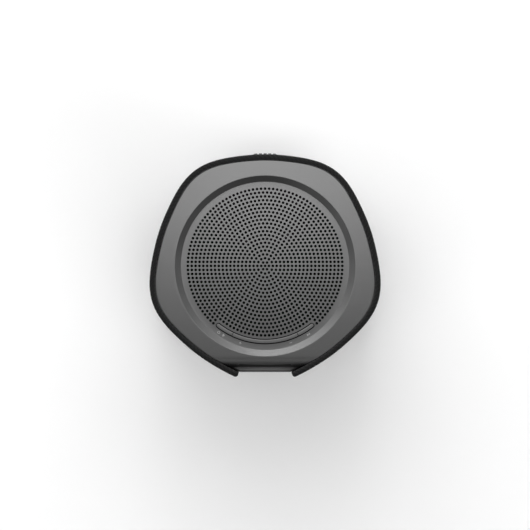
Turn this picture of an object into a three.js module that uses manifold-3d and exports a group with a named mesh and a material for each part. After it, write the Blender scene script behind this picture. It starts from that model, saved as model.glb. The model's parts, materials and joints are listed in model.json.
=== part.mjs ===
// A portable speaker that stands upright: a five-lobed body in a fabric wrap, a perforated metal
// top plate with three buttons in an arc, and a rubber port flap low on the back.
// Millimetres, +Z up. The origin is on the table under the grille's axis, the badge faces -Y.
import * as THREE from "three";
import { mergeVertices } from "three/addons/utils/BufferGeometryUtils.js";
import Module from "manifold-3d";

const wasm = await Module();
wasm.setup();

// ---------------------------------------------------------------- driving dimensions

const HEIGHT = 180;
const PLAN = { mean: 59.3, lobe: 1.79, crispness: 0.25, lobes: 5, steps: 50 };
const BACK_FACE_Y = 55.1;

const WRAP = { thickness: 2.9, fabric: 1.0, endAngle: 14.2, bottom: 4.4 };

const PLATE = { top: 179.4, sheet: 1.6, skirtBottom: 171.9, edge: 0.5, inset: 3.0 };
PLATE.roll = { radius: 4.5, backY: 52.4 };
PLATE.dish = { rimRadius: 46.9, floorRadius: 43.6, depth: 2.6 };

const KEYS = { innerRadius: 38.3, outerRadius: 40.25, endAngle: 38.1, splitAngle: 25.5 };
KEYS.gap = 0.3;
KEYS.proud = 0.15;

const GRILLE = { pitch: 12, rings: 3, holeRadius: 1.8, clearAngle: 46, clearRadius: 34 };

const BAFFLE = { bottom: 164, top: 167, inset: 5.0, wall: 2.0, backY: 50.2, bore: 28.6 };
const BOX = { bottom: 12.5, top: 163.9, inset: 3.2, wall: 2.5, backY: 50, bayY: 31.5 };
const BASE = { bottom: 3.6, floor: 2.4, top: 12, inset: 3.0, wall: 2.0 };
const FOOT = { height: 3.5, outerInset: 9, innerInset: 16, notchWidth: 12, notchHeight: 1.8 };

const WOOFER_SEAT = 167.8;
const SIDE_DRIVER = { height: 100, angle: 108, seat: 49.2, bore: 18.9, pocket: 23.1, boss: 26.0 };
const RADIATOR = { bore: 26.5, flange: 31, frameTop: 12.4 };

const BACK_PANEL = { bottom: 12.3, top: 171, wall: 2.5, frontY: 50.3, inset: 3.2 };
const PORT = { halfWidth: 11, bottom: 20.5, top: 31, corner: 2.6, gap: 0.3, depth: 2.1 };

const SCREW = { radius: 1.4, headRadius: 2.8, circle: 36.5, angles: [45, 135, 225, 315] };
const CELL = { radius: 9.2, length: 65, bottom: 38, x: 9.6, y: 42.1 };
const BOARD = { halfWidth: 29, bottom: 106, top: 160, frontY: 34.0, thickness: 1.6 };
const PORT_BOARD = { z: 22.0, thickness: 1.2 };

const FINE = 24; // facets round a large turned piece
const COARSE = 20; // facets round a small one
const ROLL_STEPS = 4; // chords across a surround's half roll
const THROUGH = 400; // longer than the whole part, for cuts that go right through

// ---------------------------------------------------------------- materials

const finish = (color, roughness, metalness = 0) => () =>
  new THREE.MeshStandardMaterial({ color, roughness, metalness });

const FABRIC = finish(0x1b1b1c, 0.95);
const ANODISED = finish(0x7c7c7c, 0.45, 0.9);
const DARK_PLASTIC = finish(0x232325, 0.6);
const RUBBER = finish(0x151515, 0.85);
const PAPER = finish(0x26262a, 0.9);
const STEEL = finish(0x9a9a9c, 0.35, 1);
const FERRITE = finish(0x2e2e30, 0.7);
const BOARD_GREEN = finish(0x1d4a33, 0.5);
const CELL_WRAP = finish(0x2f6aa8, 0.4);
const COPPER = finish(0xa86437, 0.4, 1);

// ---------------------------------------------------------------- solids

const radians = THREE.MathUtils.degToRad;

// A geometry as a manifold-3d solid, with its faces turned outwards.
function solid(geometry) {
  const bare = geometry.index ? geometry.toNonIndexed() : geometry.clone();
  bare.deleteAttribute("normal");
  bare.deleteAttribute("uv");
  const merged = mergeVertices(bare, 1e-4);
  const kept = [];
  for (let i = 0; i < merged.index.count; i += 3) {
    const [a, b, c] = [0, 1, 2].map((k) => merged.index.getX(i + k));
    if (a !== b && b !== c && c !== a) kept.push([a, b, c]);
  }
  const make = (faces) =>
    new wasm.Manifold(
      new wasm.Mesh({
        numProp: 3,
        vertProperties: merged.attributes.position.array,
        triVerts: new Uint32Array(faces.flat()),
      }),
    );
  const made = make(kept);
  return made.volume() < 0 ? make(kept.map(([a, b, c]) => [a, c, b])) : made;
}

// A solid as the geometry of a three.js mesh.
function geometryOf(made) {
  const mesh = made.getMesh();
  const geometry = new THREE.BufferGeometry();
  const positions = new Float32Array(mesh.numVert * 3);
  for (let i = 0; i < mesh.numVert; i++) {
    positions.set(mesh.vertProperties.subarray(i * mesh.numProp, i * mesh.numProp + 3), i * 3);
  }
  geometry.setAttribute("position", new THREE.BufferAttribute(positions, 3));
  geometry.setIndex(new THREE.BufferAttribute(new Uint32Array(mesh.triVerts), 1));
  const faceted = geometry.toNonIndexed();
  faceted.computeVertexNormals();
  return faceted;
}

function piece(name, made, material) {
  const mesh = new THREE.Mesh(geometryOf(made), material());
  mesh.name = name;
  return mesh;
}

const join = (...parts) => parts.reduce((whole, part) => whole.add(part));
const cut = (whole, ...tools) => tools.reduce((left, tool) => left.subtract(tool), whole);

// ---------------------------------------------------------------- the plan outline

// Distance from the axis to the outer face, at an angle in degrees from the back corner (+Y).
// One cosine gives the five lobes, a second at twice the rate makes their corners crisper.
function planRadius(degrees) {
  const turn = radians(degrees) * PLAN.lobes;
  return PLAN.mean + PLAN.lobe * Math.cos(turn) + PLAN.crispness * Math.cos(2 * turn);
}

// A point at a distance from the axis, at an angle in degrees from +Y towards +X.
const polar = (radius, degrees) =>
  new THREE.Vector2(radius * Math.sin(radians(degrees)), radius * Math.cos(radians(degrees)));

const planPoint = (inset, degrees) => polar(planRadius(degrees) - inset, degrees);

// Points of the outline between two angles, inset from the outer face. They stand at the same
// angles for every inset, so nested outlines keep their clearance.
function planArc(inset, from, to) {
  const step = 360 / PLAN.steps;
  const least = step / 10;
  const angles = [from];
  for (let i = Math.ceil((from + least) / step); i * step < to - least; i++) angles.push(i * step);
  return [...angles, to].map((angle) => planPoint(inset, angle));
}

// The outline between two insets, open at the back over the given angle each side.
const planBand = (outerInset, innerInset, endAngle) =>
  new THREE.Shape([
    ...planArc(outerInset, endAngle, 360 - endAngle),
    ...planArc(innerInset, endAngle, 360 - endAngle).reverse(),
  ]);

// A band about the axis between two radii, centred on +Y, with square or round ends.
function arcShape(inner, outer, from, to, roundFrom = false, roundTo = false) {
  const steps = Math.max(3, Math.round(Math.abs(to - from) / 8));
  const middle = (inner + outer) / 2;
  const half = (outer - inner) / 2;
  const line = (radius, a, b) =>
    Array.from({ length: steps + 1 }, (_, i) => polar(radius, a + ((b - a) * i) / steps));
  const cap = (at, turn) =>
    [-60, 0, 60].map((t) => {
      const centre = polar(middle, at);
      const out = polar(half, at + turn * (90 + t));
      return centre.add(out);
    });
  return new THREE.Shape([
    ...line(outer, from, to),
    ...(roundTo ? cap(to, 1) : []),
    ...line(inner, to, from),
    ...(roundFrom ? cap(from, -1).reverse() : []),
  ]);
}

function roundedRectangle(width, height, radius) {
  const [x, y] = [width / 2, height / 2];
  const shape = new THREE.Shape();
  shape.absarc(x - radius, y - radius, radius, 0, Math.PI / 2);
  shape.absarc(-x + radius, y - radius, radius, Math.PI / 2, Math.PI);
  shape.absarc(-x + radius, -y + radius, radius, Math.PI, 1.5 * Math.PI);
  shape.absarc(x - radius, -y + radius, radius, 1.5 * Math.PI, 2 * Math.PI);
  return shape;
}

// ---------------------------------------------------------------- solids from outlines

const extrude = (shape, depth, curveSegments = 4) =>
  new THREE.ExtrudeGeometry(shape, { depth, bevelEnabled: false, curveSegments });

const prism = (shape, low, high) => solid(extrude(shape, high - low).translate(0, 0, low));

// A shape drawn in (y, z) and carried along x, centred on x.
function alongX(shape, width, x = 0, curveSegments = 8) {
  const basis = new THREE.Matrix4().makeBasis(
    new THREE.Vector3(0, 1, 0),
    new THREE.Vector3(0, 0, 1),
    new THREE.Vector3(1, 0, 0),
  );
  const geometry = extrude(shape, width, curveSegments).translate(0, 0, -width / 2);
  return solid(geometry.applyMatrix4(basis).translate(x, 0, 0));
}

// A shape drawn in (x, z) and carried along y from one place to another.
function alongY(shape, from, to, centre = [0, 0]) {
  const basis = new THREE.Matrix4().makeBasis(
    new THREE.Vector3(-1, 0, 0),
    new THREE.Vector3(0, 0, 1),
    new THREE.Vector3(0, 1, 0),
  );
  const geometry = extrude(shape, to - from).applyMatrix4(basis);
  return solid(geometry.translate(centre[0], from, centre[1]));
}

function box(low, high) {
  const size = low.map((value, k) => high[k] - value);
  const middle = low.map((value, k) => (high[k] + value) / 2);
  return solid(new THREE.BoxGeometry(...size).translate(...middle));
}

// A turned solid about +Z from a closed profile of [radius, z] pairs.
function turned(profile, segments = FINE) {
  const points = profile.map(([radius, z]) => new THREE.Vector2(radius, z));
  const closed = profile[0][0] === 0 && profile.at(-1)[0] === 0;
  if (!closed) points.push(points[0].clone());
  return solid(new THREE.LatheGeometry(points, segments).rotateX(Math.PI / 2));
}

const cylinder = (radius, low, high, segments = COARSE) =>
  turned([[0, low], [radius, low], [radius, high], [0, high]], segments);

const tubeRing = (inner, outer, low, high, segments = FINE) =>
  turned([[inner, low], [outer, low], [outer, high], [inner, high]], segments);

const at = (made, x, y, z) => made.translate([x, y, z]);

// Turns a solid about +Z by degrees from +Y towards +X.
const swung = (made, degrees) => made.rotate([0, 0, -degrees]);

// A solid made about +Z, laid so that its axis points outwards at an angle from +Y.
const outwards = (made, degrees, height) =>
  swung(made.rotate([-90, 0, 0]), degrees).translate([0, 0, height]);

// The outline at several levels, each an [inset, z] pair, joined into one closed solid.
function loft(levels) {
  const rings = levels.map(([inset, z]) =>
    planArc(inset, 0, 360).slice(0, -1).map((p) => [p.x, p.y, z]),
  );
  const count = rings[0].length;
  const low = [0, 0, levels[0][1]];
  const high = [0, 0, levels.at(-1)[1]];
  const faces = [];
  for (let i = 0; i < count; i++) {
    const next = (i + 1) % count;
    faces.push(low, rings[0][i], rings[0][next]);
    faces.push(high, rings.at(-1)[next], rings.at(-1)[i]);
    for (let k = 0; k + 1 < rings.length; k++) {
      const [a, b] = [rings[k][i], rings[k][next]];
      const [c, d] = [rings[k + 1][next], rings[k + 1][i]];
      faces.push(a, c, b, a, d, c);
    }
  }
  const geometry = new THREE.BufferGeometry();
  geometry.setAttribute("position", new THREE.Float32BufferAttribute(faces.flat(), 3));
  return solid(geometry);
}

// Everything in front of a plane at y, from far below to far above.
const inFrontOf = (y) => box([-THROUGH, -THROUGH, -THROUGH], [THROUGH, y, THROUGH]);
const behind = (y) => box([-THROUGH, y, -THROUGH], [THROUGH, THROUGH, THROUGH]);

// A round lead along smooth points.
function lead(points, radius) {
  const route = new THREE.CatmullRomCurve3(points.map((p) => new THREE.Vector3(...p)));
  const section = new THREE.Shape();
  section.absarc(0, 0, radius, 0, 2 * Math.PI);
  return solid(
    new THREE.ExtrudeGeometry(section, { steps: 14, curveSegments: 4, extrudePath: route }),
  );
}

// ---------------------------------------------------------------- the wrap

function fabricWrap() {
  const foldAngle = 1.0;
  const skin = prism(planBand(0, WRAP.thickness, WRAP.endAngle), WRAP.bottom, HEIGHT);
  const pocket = prism(
    planBand(WRAP.fabric, WRAP.thickness + 1, WRAP.endAngle + foldAngle),
    WRAP.bottom + WRAP.fabric,
    HEIGHT - WRAP.fabric,
  );
  return piece("fabric_wrap", cut(skin, pocket), FABRIC);
}

// The stiff carrier under the fabric, slotted in front of each side driver.
function wrapCarrier() {
  const gap = 0.1;
  const slot = { halfWidth: 17, height: 5, pitch: 9, count: 4 };
  const inset = WRAP.fabric + gap;
  const shell = prism(
    planBand(inset, WRAP.thickness - gap / 2, WRAP.endAngle + 1.2),
    WRAP.bottom + inset,
    HEIGHT - inset,
  );
  const slots = [];
  for (const side of [-1, 1]) {
    for (let row = 0; row < slot.count; row++) {
      const z = SIDE_DRIVER.height + (row - (slot.count - 1) / 2) * slot.pitch;
      const opening = box(
        [-slot.halfWidth, 40, z - slot.height / 2],
        [slot.halfWidth, 70, z + slot.height / 2],
      );
      slots.push(swung(opening, side * SIDE_DRIVER.angle));
    }
  }
  return piece("wrap_carrier", cut(shell, ...slots), DARK_PLASTIC);
}

// Five plain bars of different heights on a thin strip.
function badge() {
  const strip = { halfWidth: 6.35, height: 7, z: 158, back: 57.86, thickness: 0.45 };
  const bars = { height: [2.6, 4.6, 3.4, 5.8, 3.8], halfWidth: 0.8, pitch: 2.4, proud: 0.4 };
  const front = -strip.back - strip.thickness;
  const plate = alongY(
    roundedRectangle(2 * strip.halfWidth, strip.height, 1),
    front,
    -strip.back,
    [0, strip.z],
  );
  const raised = bars.height.map((height, i) => {
    const x = (i - (bars.height.length - 1) / 2) * bars.pitch;
    return box(
      [x - bars.halfWidth, front - bars.proud, strip.z - height / 2],
      [x + bars.halfWidth, front + 0.1, strip.z + height / 2],
    );
  });
  return piece("badge", join(plate, ...raised), STEEL);
}

// ---------------------------------------------------------------- top plate and buttons

// Everything in front of the back edge and under the top, whose meeting edge is rolled.
function rolledBack(backY, top, radius) {
  const shape = new THREE.Shape();
  shape.moveTo(-THROUGH, 0);
  shape.lineTo(backY, 0);
  shape.absarc(backY - radius, top - radius, radius, 0, Math.PI / 2);
  shape.lineTo(-THROUGH, top);
  return alongX(shape, THROUGH);
}

// Round holes on rings about the axis, six more in each ring, but none under the buttons.
function grilleHoles(low, high) {
  const hole = cylinder(GRILLE.holeRadius, low, high, 6);
  const holes = [hole];
  for (let ring = 1; ring <= GRILLE.rings; ring++) {
    const count = 6 * ring;
    for (let i = 0; i < count; i++) {
      const angle = 90 + (360 * i) / count;
      const fromBack = Math.abs(((angle + 180) % 360) - 180);
      const radius = ring * GRILLE.pitch;
      if (radius > GRILLE.clearRadius && fromBack < GRILLE.clearAngle) continue;
      const centre = polar(radius, angle);
      holes.push(at(hole, centre.x, centre.y, 0));
    }
  }
  return holes;
}

function topPlate() {
  const { top, sheet, skirtBottom, edge, inset, roll, dish } = PLATE;
  const floor = top - dish.depth;
  const outer = loft([[inset, skirtBottom], [inset, top - edge], [inset + edge, top]]);
  const inner = loft([[inset + sheet, skirtBottom - 1], [inset + sheet, top - sheet]]);
  const rolledOuter = outer.intersect(rolledBack(roll.backY, top, roll.radius));
  const rolledInner = inner.intersect(
    rolledBack(roll.backY - sheet, top - sheet, roll.radius - sheet),
  );
  const cup = turned([
    [0, floor - sheet],
    [dish.floorRadius + 0.6, floor - sheet],
    [dish.rimRadius + 1.5, top - sheet - 0.1],
    [dish.rimRadius + 1.5, top - sheet / 2],
    [0, top - sheet / 2],
  ]);
  const hollow = turned([
    [0, floor],
    [dish.floorRadius, floor],
    [dish.rimRadius, top],
    [dish.rimRadius, top + 1],
    [0, top + 1],
  ]);
  const slot = prism(
    arcShape(
      KEYS.innerRadius - KEYS.gap,
      KEYS.outerRadius + KEYS.gap,
      -KEYS.endAngle,
      KEYS.endAngle,
      true,
      true,
    ),
    floor - 2 * sheet,
    top,
  );
  const shell = cut(rolledOuter, rolledInner).add(cup);
  const holes = grilleHoles(floor - 2 * sheet, top);
  return piece("top_plate", cut(shell, hollow, slot, ...holes), ANODISED);
}

// A button's arc between two angles: the visible key, and a wider flange that holds it in.
function key(name, from, to, roundFrom, roundTo) {
  const floor = PLATE.top - PLATE.dish.depth;
  const underside = floor - PLATE.sheet;
  const flange = { margin: 0.75, top: underside - 0.45, bottom: underside - 1.6 };
  const cap = prism(
    arcShape(KEYS.innerRadius, KEYS.outerRadius, from, to, roundFrom, roundTo),
    flange.bottom,
    floor + KEYS.proud,
  );
  const skirt = prism(
    arcShape(KEYS.innerRadius - flange.margin, KEYS.outerRadius + flange.margin, from, to),
    flange.bottom,
    flange.top,
  );
  return piece(name, cap.add(skirt), ANODISED);
}

function buttons() {
  const split = KEYS.splitAngle;
  const gap = 0.2; // degrees each side of a split
  return [
    key("power_button", split + gap, KEYS.endAngle, false, true),
    key("volume_rocker", -split + gap, split - gap, false, false),
    key("play_button", -KEYS.endAngle, -split - gap, true, false),
  ];
}

// What lies under the plate: dust screen, rubber key mat, board and its four switches.
function underPlate() {
  const underside = PLATE.top - PLATE.dish.depth - PLATE.sheet;
  const screenDisc = cylinder(42.5, underside - 0.5, underside - 0.1, FINE);
  const screenNotch = prism(arcShape(37.2, 44, -46, 46), underside - 2, underside + 1);
  const mat = prism(arcShape(36.9, 42.2, -43, 43), underside - 2.8, underside - 2.1);
  const board = prism(arcShape(35.5, 43.5, -46, 46), underside - 5.6, underside - 4.4);
  const switchAt = (name, degrees) => {
    const made = box([-1.6, 37.8, underside - 4.3], [1.6, 41.0, underside - 2.9]);
    return piece(name, swung(made, degrees), STEEL);
  };
  return [
    piece("dust_screen", cut(screenDisc, screenNotch), RUBBER),
    piece("key_mat", mat, RUBBER),
    piece("key_board", board, BOARD_GREEN),
    switchAt("switch_power", 32),
    switchAt("switch_volume_up", 20),
    switchAt("switch_volume_down", -20),
    switchAt("switch_play", -32),
  ];
}

// ---------------------------------------------------------------- baffle, box, base and feet

function baffle() {
  const { bottom, top, inset, wall, backY, bore } = BAFFLE;
  const rimTop = PLATE.top - PLATE.sheet - 0.2;
  const panel = loft([[inset, bottom], [inset, top]]);
  const rim = cut(
    loft([[inset, top - 1], [inset, rimTop]]),
    loft([[inset + wall, top], [inset + wall, rimTop + 1]]),
  );
  const backWall = box([-17, backY - wall, top - 1], [17, backY, 174.5]);
  const posts = [-44, 44].map((angle) => {
    const centre = polar(39.5, angle);
    return at(cylinder(2.2, top - 1, 169.5, 10), centre.x, centre.y, 0);
  });
  const ribbonSlot = box([-6, 43.5, bottom - 1], [6, 46.5, top + 1]);
  const made = cut(
    join(panel, rim, backWall, ...posts).intersect(inFrontOf(backY)),
    box([-THROUGH, 47, 174.5], [THROUGH, THROUGH, THROUGH]),
    cylinder(bore, bottom - 1, top + 1, FINE),
    ribbonSlot,
  );
  return piece("top_baffle", made, DARK_PLASTIC);
}

// The sealed acoustic box in front and the open electronics bay behind, in one moulding.
function acousticBox() {
  const { bottom, top, inset, wall, backY, bayY } = BOX;
  const outside = loft([[inset, bottom], [inset, top]]).intersect(inFrontOf(backY));
  const inside = loft([[inset + wall, bottom + wall], [inset + wall, top + 1]]);
  const bossHoles = SCREW.angles.map((angle) => {
    const centre = polar(SCREW.circle, angle);
    return at(cylinder(1.6, bottom - 1, bottom + 8, 8), centre.x, centre.y, 0);
  });
  const bosses = SCREW.angles.map((angle) => {
    const centre = polar(SCREW.circle, angle);
    return at(cylinder(3.6, bottom + 1, bottom + 9.5, 8), centre.x, centre.y, 0);
  });
  const sideBosses = [-1, 1].map((side) =>
    outwards(
      cylinder(SIDE_DRIVER.boss, SIDE_DRIVER.seat - 4.5, 60, FINE),
      side * SIDE_DRIVER.angle,
      SIDE_DRIVER.height,
    ).intersect(outside),
  );
  const sideCuts = [-1, 1].flatMap((side) => [
    cylinder(SIDE_DRIVER.pocket, SIDE_DRIVER.seat - 0.3, 70, FINE),
    cylinder(SIDE_DRIVER.bore, 30, 70, FINE),
  ].map((tool) => outwards(tool, side * SIDE_DRIVER.angle, SIDE_DRIVER.height)));
  const standoffs = [[-25, 110], [25, 110], [-25, 156], [25, 156]].map(([x, z]) =>
    at(cylinder(2.2, 0, BOARD.frontY - 0.1 - bayY + 1, 8).rotate([-90, 0, 0]), x, bayY - 1, z),
  );
  const acoustic = inside.intersect(inFrontOf(bayY - wall));
  const bay = inside.intersect(behind(bayY));
  const made = cut(
    join(cut(outside, acoustic, bay), ...bosses, ...sideBosses, ...standoffs),
    cylinder(RADIATOR.bore, bottom - 1, bottom + wall + 1, FINE),
    ...bossHoles,
    ...sideCuts,
  );
  return piece("acoustic_box", made, DARK_PLASTIC);
}

// The bottom cover, with curved sound slots under the passive radiator.
function baseCap() {
  const { bottom, floor, top, inset, wall } = BASE;
  const outside = loft([[inset + 1.6, bottom], [inset, bottom + 1.6], [inset, top]]);
  const inside = loft([[inset + wall, bottom + floor], [inset + wall, top + 1]]);
  const slots = [];
  const slot = { inner: 12, outer: 27, halfAngle: 11.5, count: 10 };
  for (let i = 0; i < slot.count; i++) {
    const turn = (360 * (i + 0.5)) / slot.count;
    const shape = arcShape(slot.inner, slot.outer, turn - slot.halfAngle, turn + slot.halfAngle);
    slots.push(prism(shape, bottom - 1, bottom + floor + 1));
  }
  const bosses = SCREW.angles.map((angle) => {
    const centre = polar(SCREW.circle, angle);
    return at(cylinder(4.4, bottom + 1, top, 10), centre.x, centre.y, 0);
  });
  const bores = SCREW.angles.flatMap((angle) => {
    const centre = polar(SCREW.circle, angle);
    return [
      at(cylinder(1.7, bottom - 1, top + 1, 8), centre.x, centre.y, 0),
      at(cylinder(3.1, bottom - 1, bottom + 4.4, 10), centre.x, centre.y, 0),
    ];
  });
  const shell = cut(
    outside.intersect(inFrontOf(BACK_FACE_Y)),
    inside.intersect(inFrontOf(BACK_FACE_Y - wall)),
  );
  return piece("base_cap", cut(join(shell, ...bosses), ...slots, ...bores), DARK_PLASTIC);
}

function baseScrews() {
  return SCREW.angles.map((angle, i) => {
    const low = BASE.bottom + 2.2;
    const head = cylinder(SCREW.headRadius, low, low + 2.0, 10);
    const shank = cylinder(SCREW.radius, low + 1, low + 13.5, 8);
    const socket = cylinder(1.3, low - 1, low + 1.1, 6);
    const centre = polar(SCREW.circle, angle);
    const made = at(cut(head.add(shank), socket), centre.x, centre.y, 0);
    return piece(`base_screw_${i + 1}`, made, STEEL);
  });
}

// A rubber ring in the body's own outline, notched underneath to let the bass out.
function footRing() {
  const ring = cut(
    loft([[FOOT.outerInset, 0], [FOOT.outerInset, FOOT.height]]),
    loft([[FOOT.innerInset, -1], [FOOT.innerInset, FOOT.height + 1]]),
  );
  const notches = Array.from({ length: PLAN.lobes }, (_, i) => {
    const half = FOOT.notchWidth / 2;
    const notch = box([-half, 20, -1], [half, 80, FOOT.notchHeight]);
    return swung(notch, (360 * (i + 0.5)) / PLAN.lobes);
  });
  return piece("foot_ring", cut(ring, ...notches), RUBBER);
}

// ---------------------------------------------------------------- speakers

// Points of a half roll between two radii, with its crest above both edges.
function rollProfile(inner, innerZ, outer, outerZ, height, thickness) {
  const steps = ROLL_STEPS;
  const line = (lift) =>
    Array.from({ length: steps + 1 }, (_, i) => {
      const share = i / steps;
      const radius = inner + (outer - inner) * share;
      const base = innerZ + (outerZ - innerZ) * share;
      return [radius, base + height * Math.sin(Math.PI * share) + lift];
    });
  return [...line(0), ...line(thickness).reverse()];
}

function woofer() {
  const s = WOOFER_SEAT;
  const basketBody = turned([
    [8.1, s - 21.2], [18.0, s - 21.2], [18.8, s - 19.6], [28.2, s - 1.2], [28.2, s],
    [32, s], [32, s + 2], [29.7, s + 2], [29.7, s + 1], [27.0, s + 1], [26.6, s - 1],
    [17.0, s - 19.8], [8.1, s - 19.8],
  ], 24);
  const windows = [0, 90, 180, 270].map((angle) =>
    swung(box([-7, 14, s - 15.5], [7, 32, s - 5]), angle + 45),
  );
  const screwHoles = [0, 90, 180, 270].map((angle) => {
    const centre = polar(30.8, angle);
    return at(cylinder(0.7, s - 1, s + 3, 6), centre.x, centre.y, 0);
  });
  const washer = tubeRing(8.1, 16.5, s - 24.3, s - 21.3, 24);
  const magnet = tubeRing(9.8, 17.5, s - 32.0, s - 24.4, 24);
  const yoke = turned([
    [0, s - 35.5], [17, s - 35.5], [17, s - 32.1], [6.8, s - 32.1], [6.8, s - 21.4], [0, s - 21.4],
  ], 24);
  const coil = tubeRing(7.2, 7.6, s - 27.5, s - 15.6, 24);
  const cone = turned([
    [7.7, s - 17.2], [9.2, s - 17.2], [22.0, s - 3.2], [24.0, s - 3.2], [24.0, s - 2.6],
    [21.6, s - 2.6], [8.6, s - 16.4], [7.7, s - 16.4],
  ], 24);
  const cap = turned([
    [0, s - 12.2], [4.0, s - 12.8], [7.6, s - 14.8], [9.4, s - 15.1],
    [9.9, s - 14.6], [7.8, s - 14.2], [4.2, s - 12.2], [0, s - 11.6],
  ], 24);
  const surround = turned([
    [22.6, s - 2.5], [24.0, s - 2.5],
    ...rollProfile(24.2, s - 2.4, 27.6, s + 1.1, 2.2, 0.5).slice(0, ROLL_STEPS + 1),
    [29.4, s + 1.1], [29.4, s + 1.6],
    ...rollProfile(24.2, s - 2.4, 27.6, s + 1.1, 2.2, 0.5).slice(ROLL_STEPS + 1),
    [24.0, s - 2.0], [22.6, s - 2.0],
  ], 24);
  const spider = turned([
    [7.7, s - 18.1], [10, s - 18.1], [12, s - 17.5], [14.5, s - 19.65], [16.6, s - 19.65],
    [16.6, s - 19.2], [14.6, s - 19.2], [12, s - 17.0], [10, s - 17.6], [7.7, s - 17.6],
  ], 24);
  return [
    piece("woofer_gasket", tubeRing(28.8, 32, BAFFLE.top + 0.1, s - 0.1), RUBBER),
    piece("woofer_basket", cut(basketBody, ...windows, ...screwHoles), STEEL),
    piece("woofer_washer", washer, STEEL),
    piece("woofer_magnet", magnet, FERRITE),
    piece("woofer_yoke", yoke, STEEL),
    piece("woofer_surround", surround, RUBBER),
    piece("woofer_spider", spider, PAPER),
    piece("woofer_coil", coil, COPPER),
    piece("woofer_cone", cone, PAPER),
    piece("woofer_dust_cap", cap, PAPER),
  ];
}

function sideDriver(side) {
  const segments = COARSE + 4;
  const place = (name, made, material) => {
    const lifted = at(made, 0, 0, SIDE_DRIVER.seat);
    const laid = outwards(lifted, side * SIDE_DRIVER.angle, SIDE_DRIVER.height);
    return piece(`${side > 0 ? "left" : "right"}_driver_${name}`, laid, material);
  };
  const frame = turned([
    [5, -13], [12, -13], [18.4, -1.5], [18.4, 0], [22.6, 0], [22.6, 2], [18.2, 2], [18.2, 1],
    [17.2, 1], [17.2, -0.8], [11.2, -11.6], [5, -11.6],
  ], segments);
  const magnet = cylinder(11.5, -21, -13.3, segments);
  const surround = turned([
    ...rollProfile(13.6, 0, 17.0, 1.3, 1.1, 0.4).slice(0, ROLL_STEPS + 1), [18.0, 1.3], [18.0, 1.7],
    ...rollProfile(13.6, 0, 17.0, 1.3, 1.1, 0.4).slice(ROLL_STEPS + 1),
  ], segments);
  const cone = turned([
    [0, -6.9], [5.2, -8.4], [13.2, -0.8], [13.2, -0.2], [12.6, -0.2], [5.0, -7.6], [0, -6.1],
  ], segments);
  return [
    place("frame", frame, DARK_PLASTIC),
    place("magnet", magnet, STEEL),
    place("surround", surround, RUBBER),
    place("cone", cone, PAPER),
  ];
}

// The unpowered bass diaphragm over the sound slots of the base.
function passiveRadiator() {
  const top = RADIATOR.frameTop;
  const frame = tubeRing(25.2, RADIATOR.flange, top - 1.5, top);
  const roll = rollProfile(20.2, top + 0.2, 24.9, top - 2.1, 2.6, 0.4);
  const surround = turned([
    [18, top + 0.2],
    ...roll.slice(0, ROLL_STEPS + 1),
    [27, top - 2.1],
    [27, top - 1.7],
    ...roll.slice(ROLL_STEPS + 1),
    [18, top + 0.6],
  ], 24);
  const weight = turned([
    [0, top - 0.8], [20, top - 0.8], [20, top + 0.1], [16.5, top + 0.1], [16.5, top + 2.2],
    [0, top + 2.2],
  ], 24);
  return [
    piece("radiator_frame", frame, DARK_PLASTIC),
    piece("radiator_surround", surround, RUBBER),
    piece("radiator_weight", weight, STEEL),
  ];
}

// ---------------------------------------------------------------- back panel and ports

const portShape = (margin) =>
  roundedRectangle(
    2 * (PORT.halfWidth - margin),
    PORT.top - PORT.bottom - 2 * margin,
    PORT.corner - margin,
  );

function backPanel() {
  const { bottom, top, wall, frontY, inset } = BACK_PANEL;
  const outside = loft([[inset, bottom], [inset, top - 1], [inset + 0.6, top]]);
  const slab = outside.intersect(behind(frontY)).intersect(inFrontOf(BACK_FACE_Y));
  const hollow = loft([[inset + 2.3, bottom - 1], [inset + 2.3, top - wall]]).intersect(
    inFrontOf(BACK_FACE_Y - wall),
  );
  const opening = alongY(portShape(0), 40, 60, [0, (PORT.bottom + PORT.top) / 2]);
  return piece("back_panel", cut(slab, hollow, opening), DARK_PLASTIC);
}

function portFlap() {
  const middle = (PORT.bottom + PORT.top) / 2;
  const outer = alongY(portShape(PORT.gap), BACK_FACE_Y - PORT.depth, BACK_FACE_Y, [0, middle]);
  const grip = alongY(roundedRectangle(1.6, 5.4, 0.7), BACK_FACE_Y - 1, BACK_FACE_Y + 0.5, [
    8.6,
    middle,
  ]);
  return piece("port_flap", outer.add(grip), RUBBER);
}

function ports() {
  const boardTop = PORT_BOARD.z + PORT_BOARD.thickness;
  const usb = { x: 5.5, halfWidth: 4.5, low: boardTop + 0.1, high: boardTop + 3.4 };
  const jack = { x: -6, halfWidth: 3.3, low: boardTop + 0.1, high: boardTop + 6.1 };
  const middle = (usb.low + usb.high) / 2;
  const usbMiddle = [usb.x, middle];
  const shell = alongY(roundedRectangle(9, 3.3, 1.5), 44, 52, usbMiddle);
  const mouth = alongY(roundedRectangle(8.3, 2.6, 1.2), 45, 53, usbMiddle);
  const tongue = box([usb.x - 3.3, 44.5, middle - 0.35], [usb.x + 3.3, 51, middle + 0.35]);
  const jackMiddle = (jack.low + jack.high) / 2;
  const body = box(
    [jack.x - jack.halfWidth, 39.5, jack.low],
    [jack.x + jack.halfWidth, 50.5, jack.high],
  );
  const barrel = at(cylinder(2.7, 0, 2, 16).rotate([-90, 0, 0]), jack.x, 50, jackMiddle);
  const bore = at(cylinder(1.8, 0, 12, 16).rotate([-90, 0, 0]), jack.x, 41, jackMiddle);
  const board = box([-13.5, 36, PORT_BOARD.z], [13.5, 51.2, boardTop]);
  return [
    piece("port_board", board, BOARD_GREEN),
    piece("charging_socket", cut(shell, mouth).add(tongue), STEEL),
    piece("audio_socket", cut(body.add(barrel), bore), DARK_PLASTIC),
  ];
}

// ---------------------------------------------------------------- electronics

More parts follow.
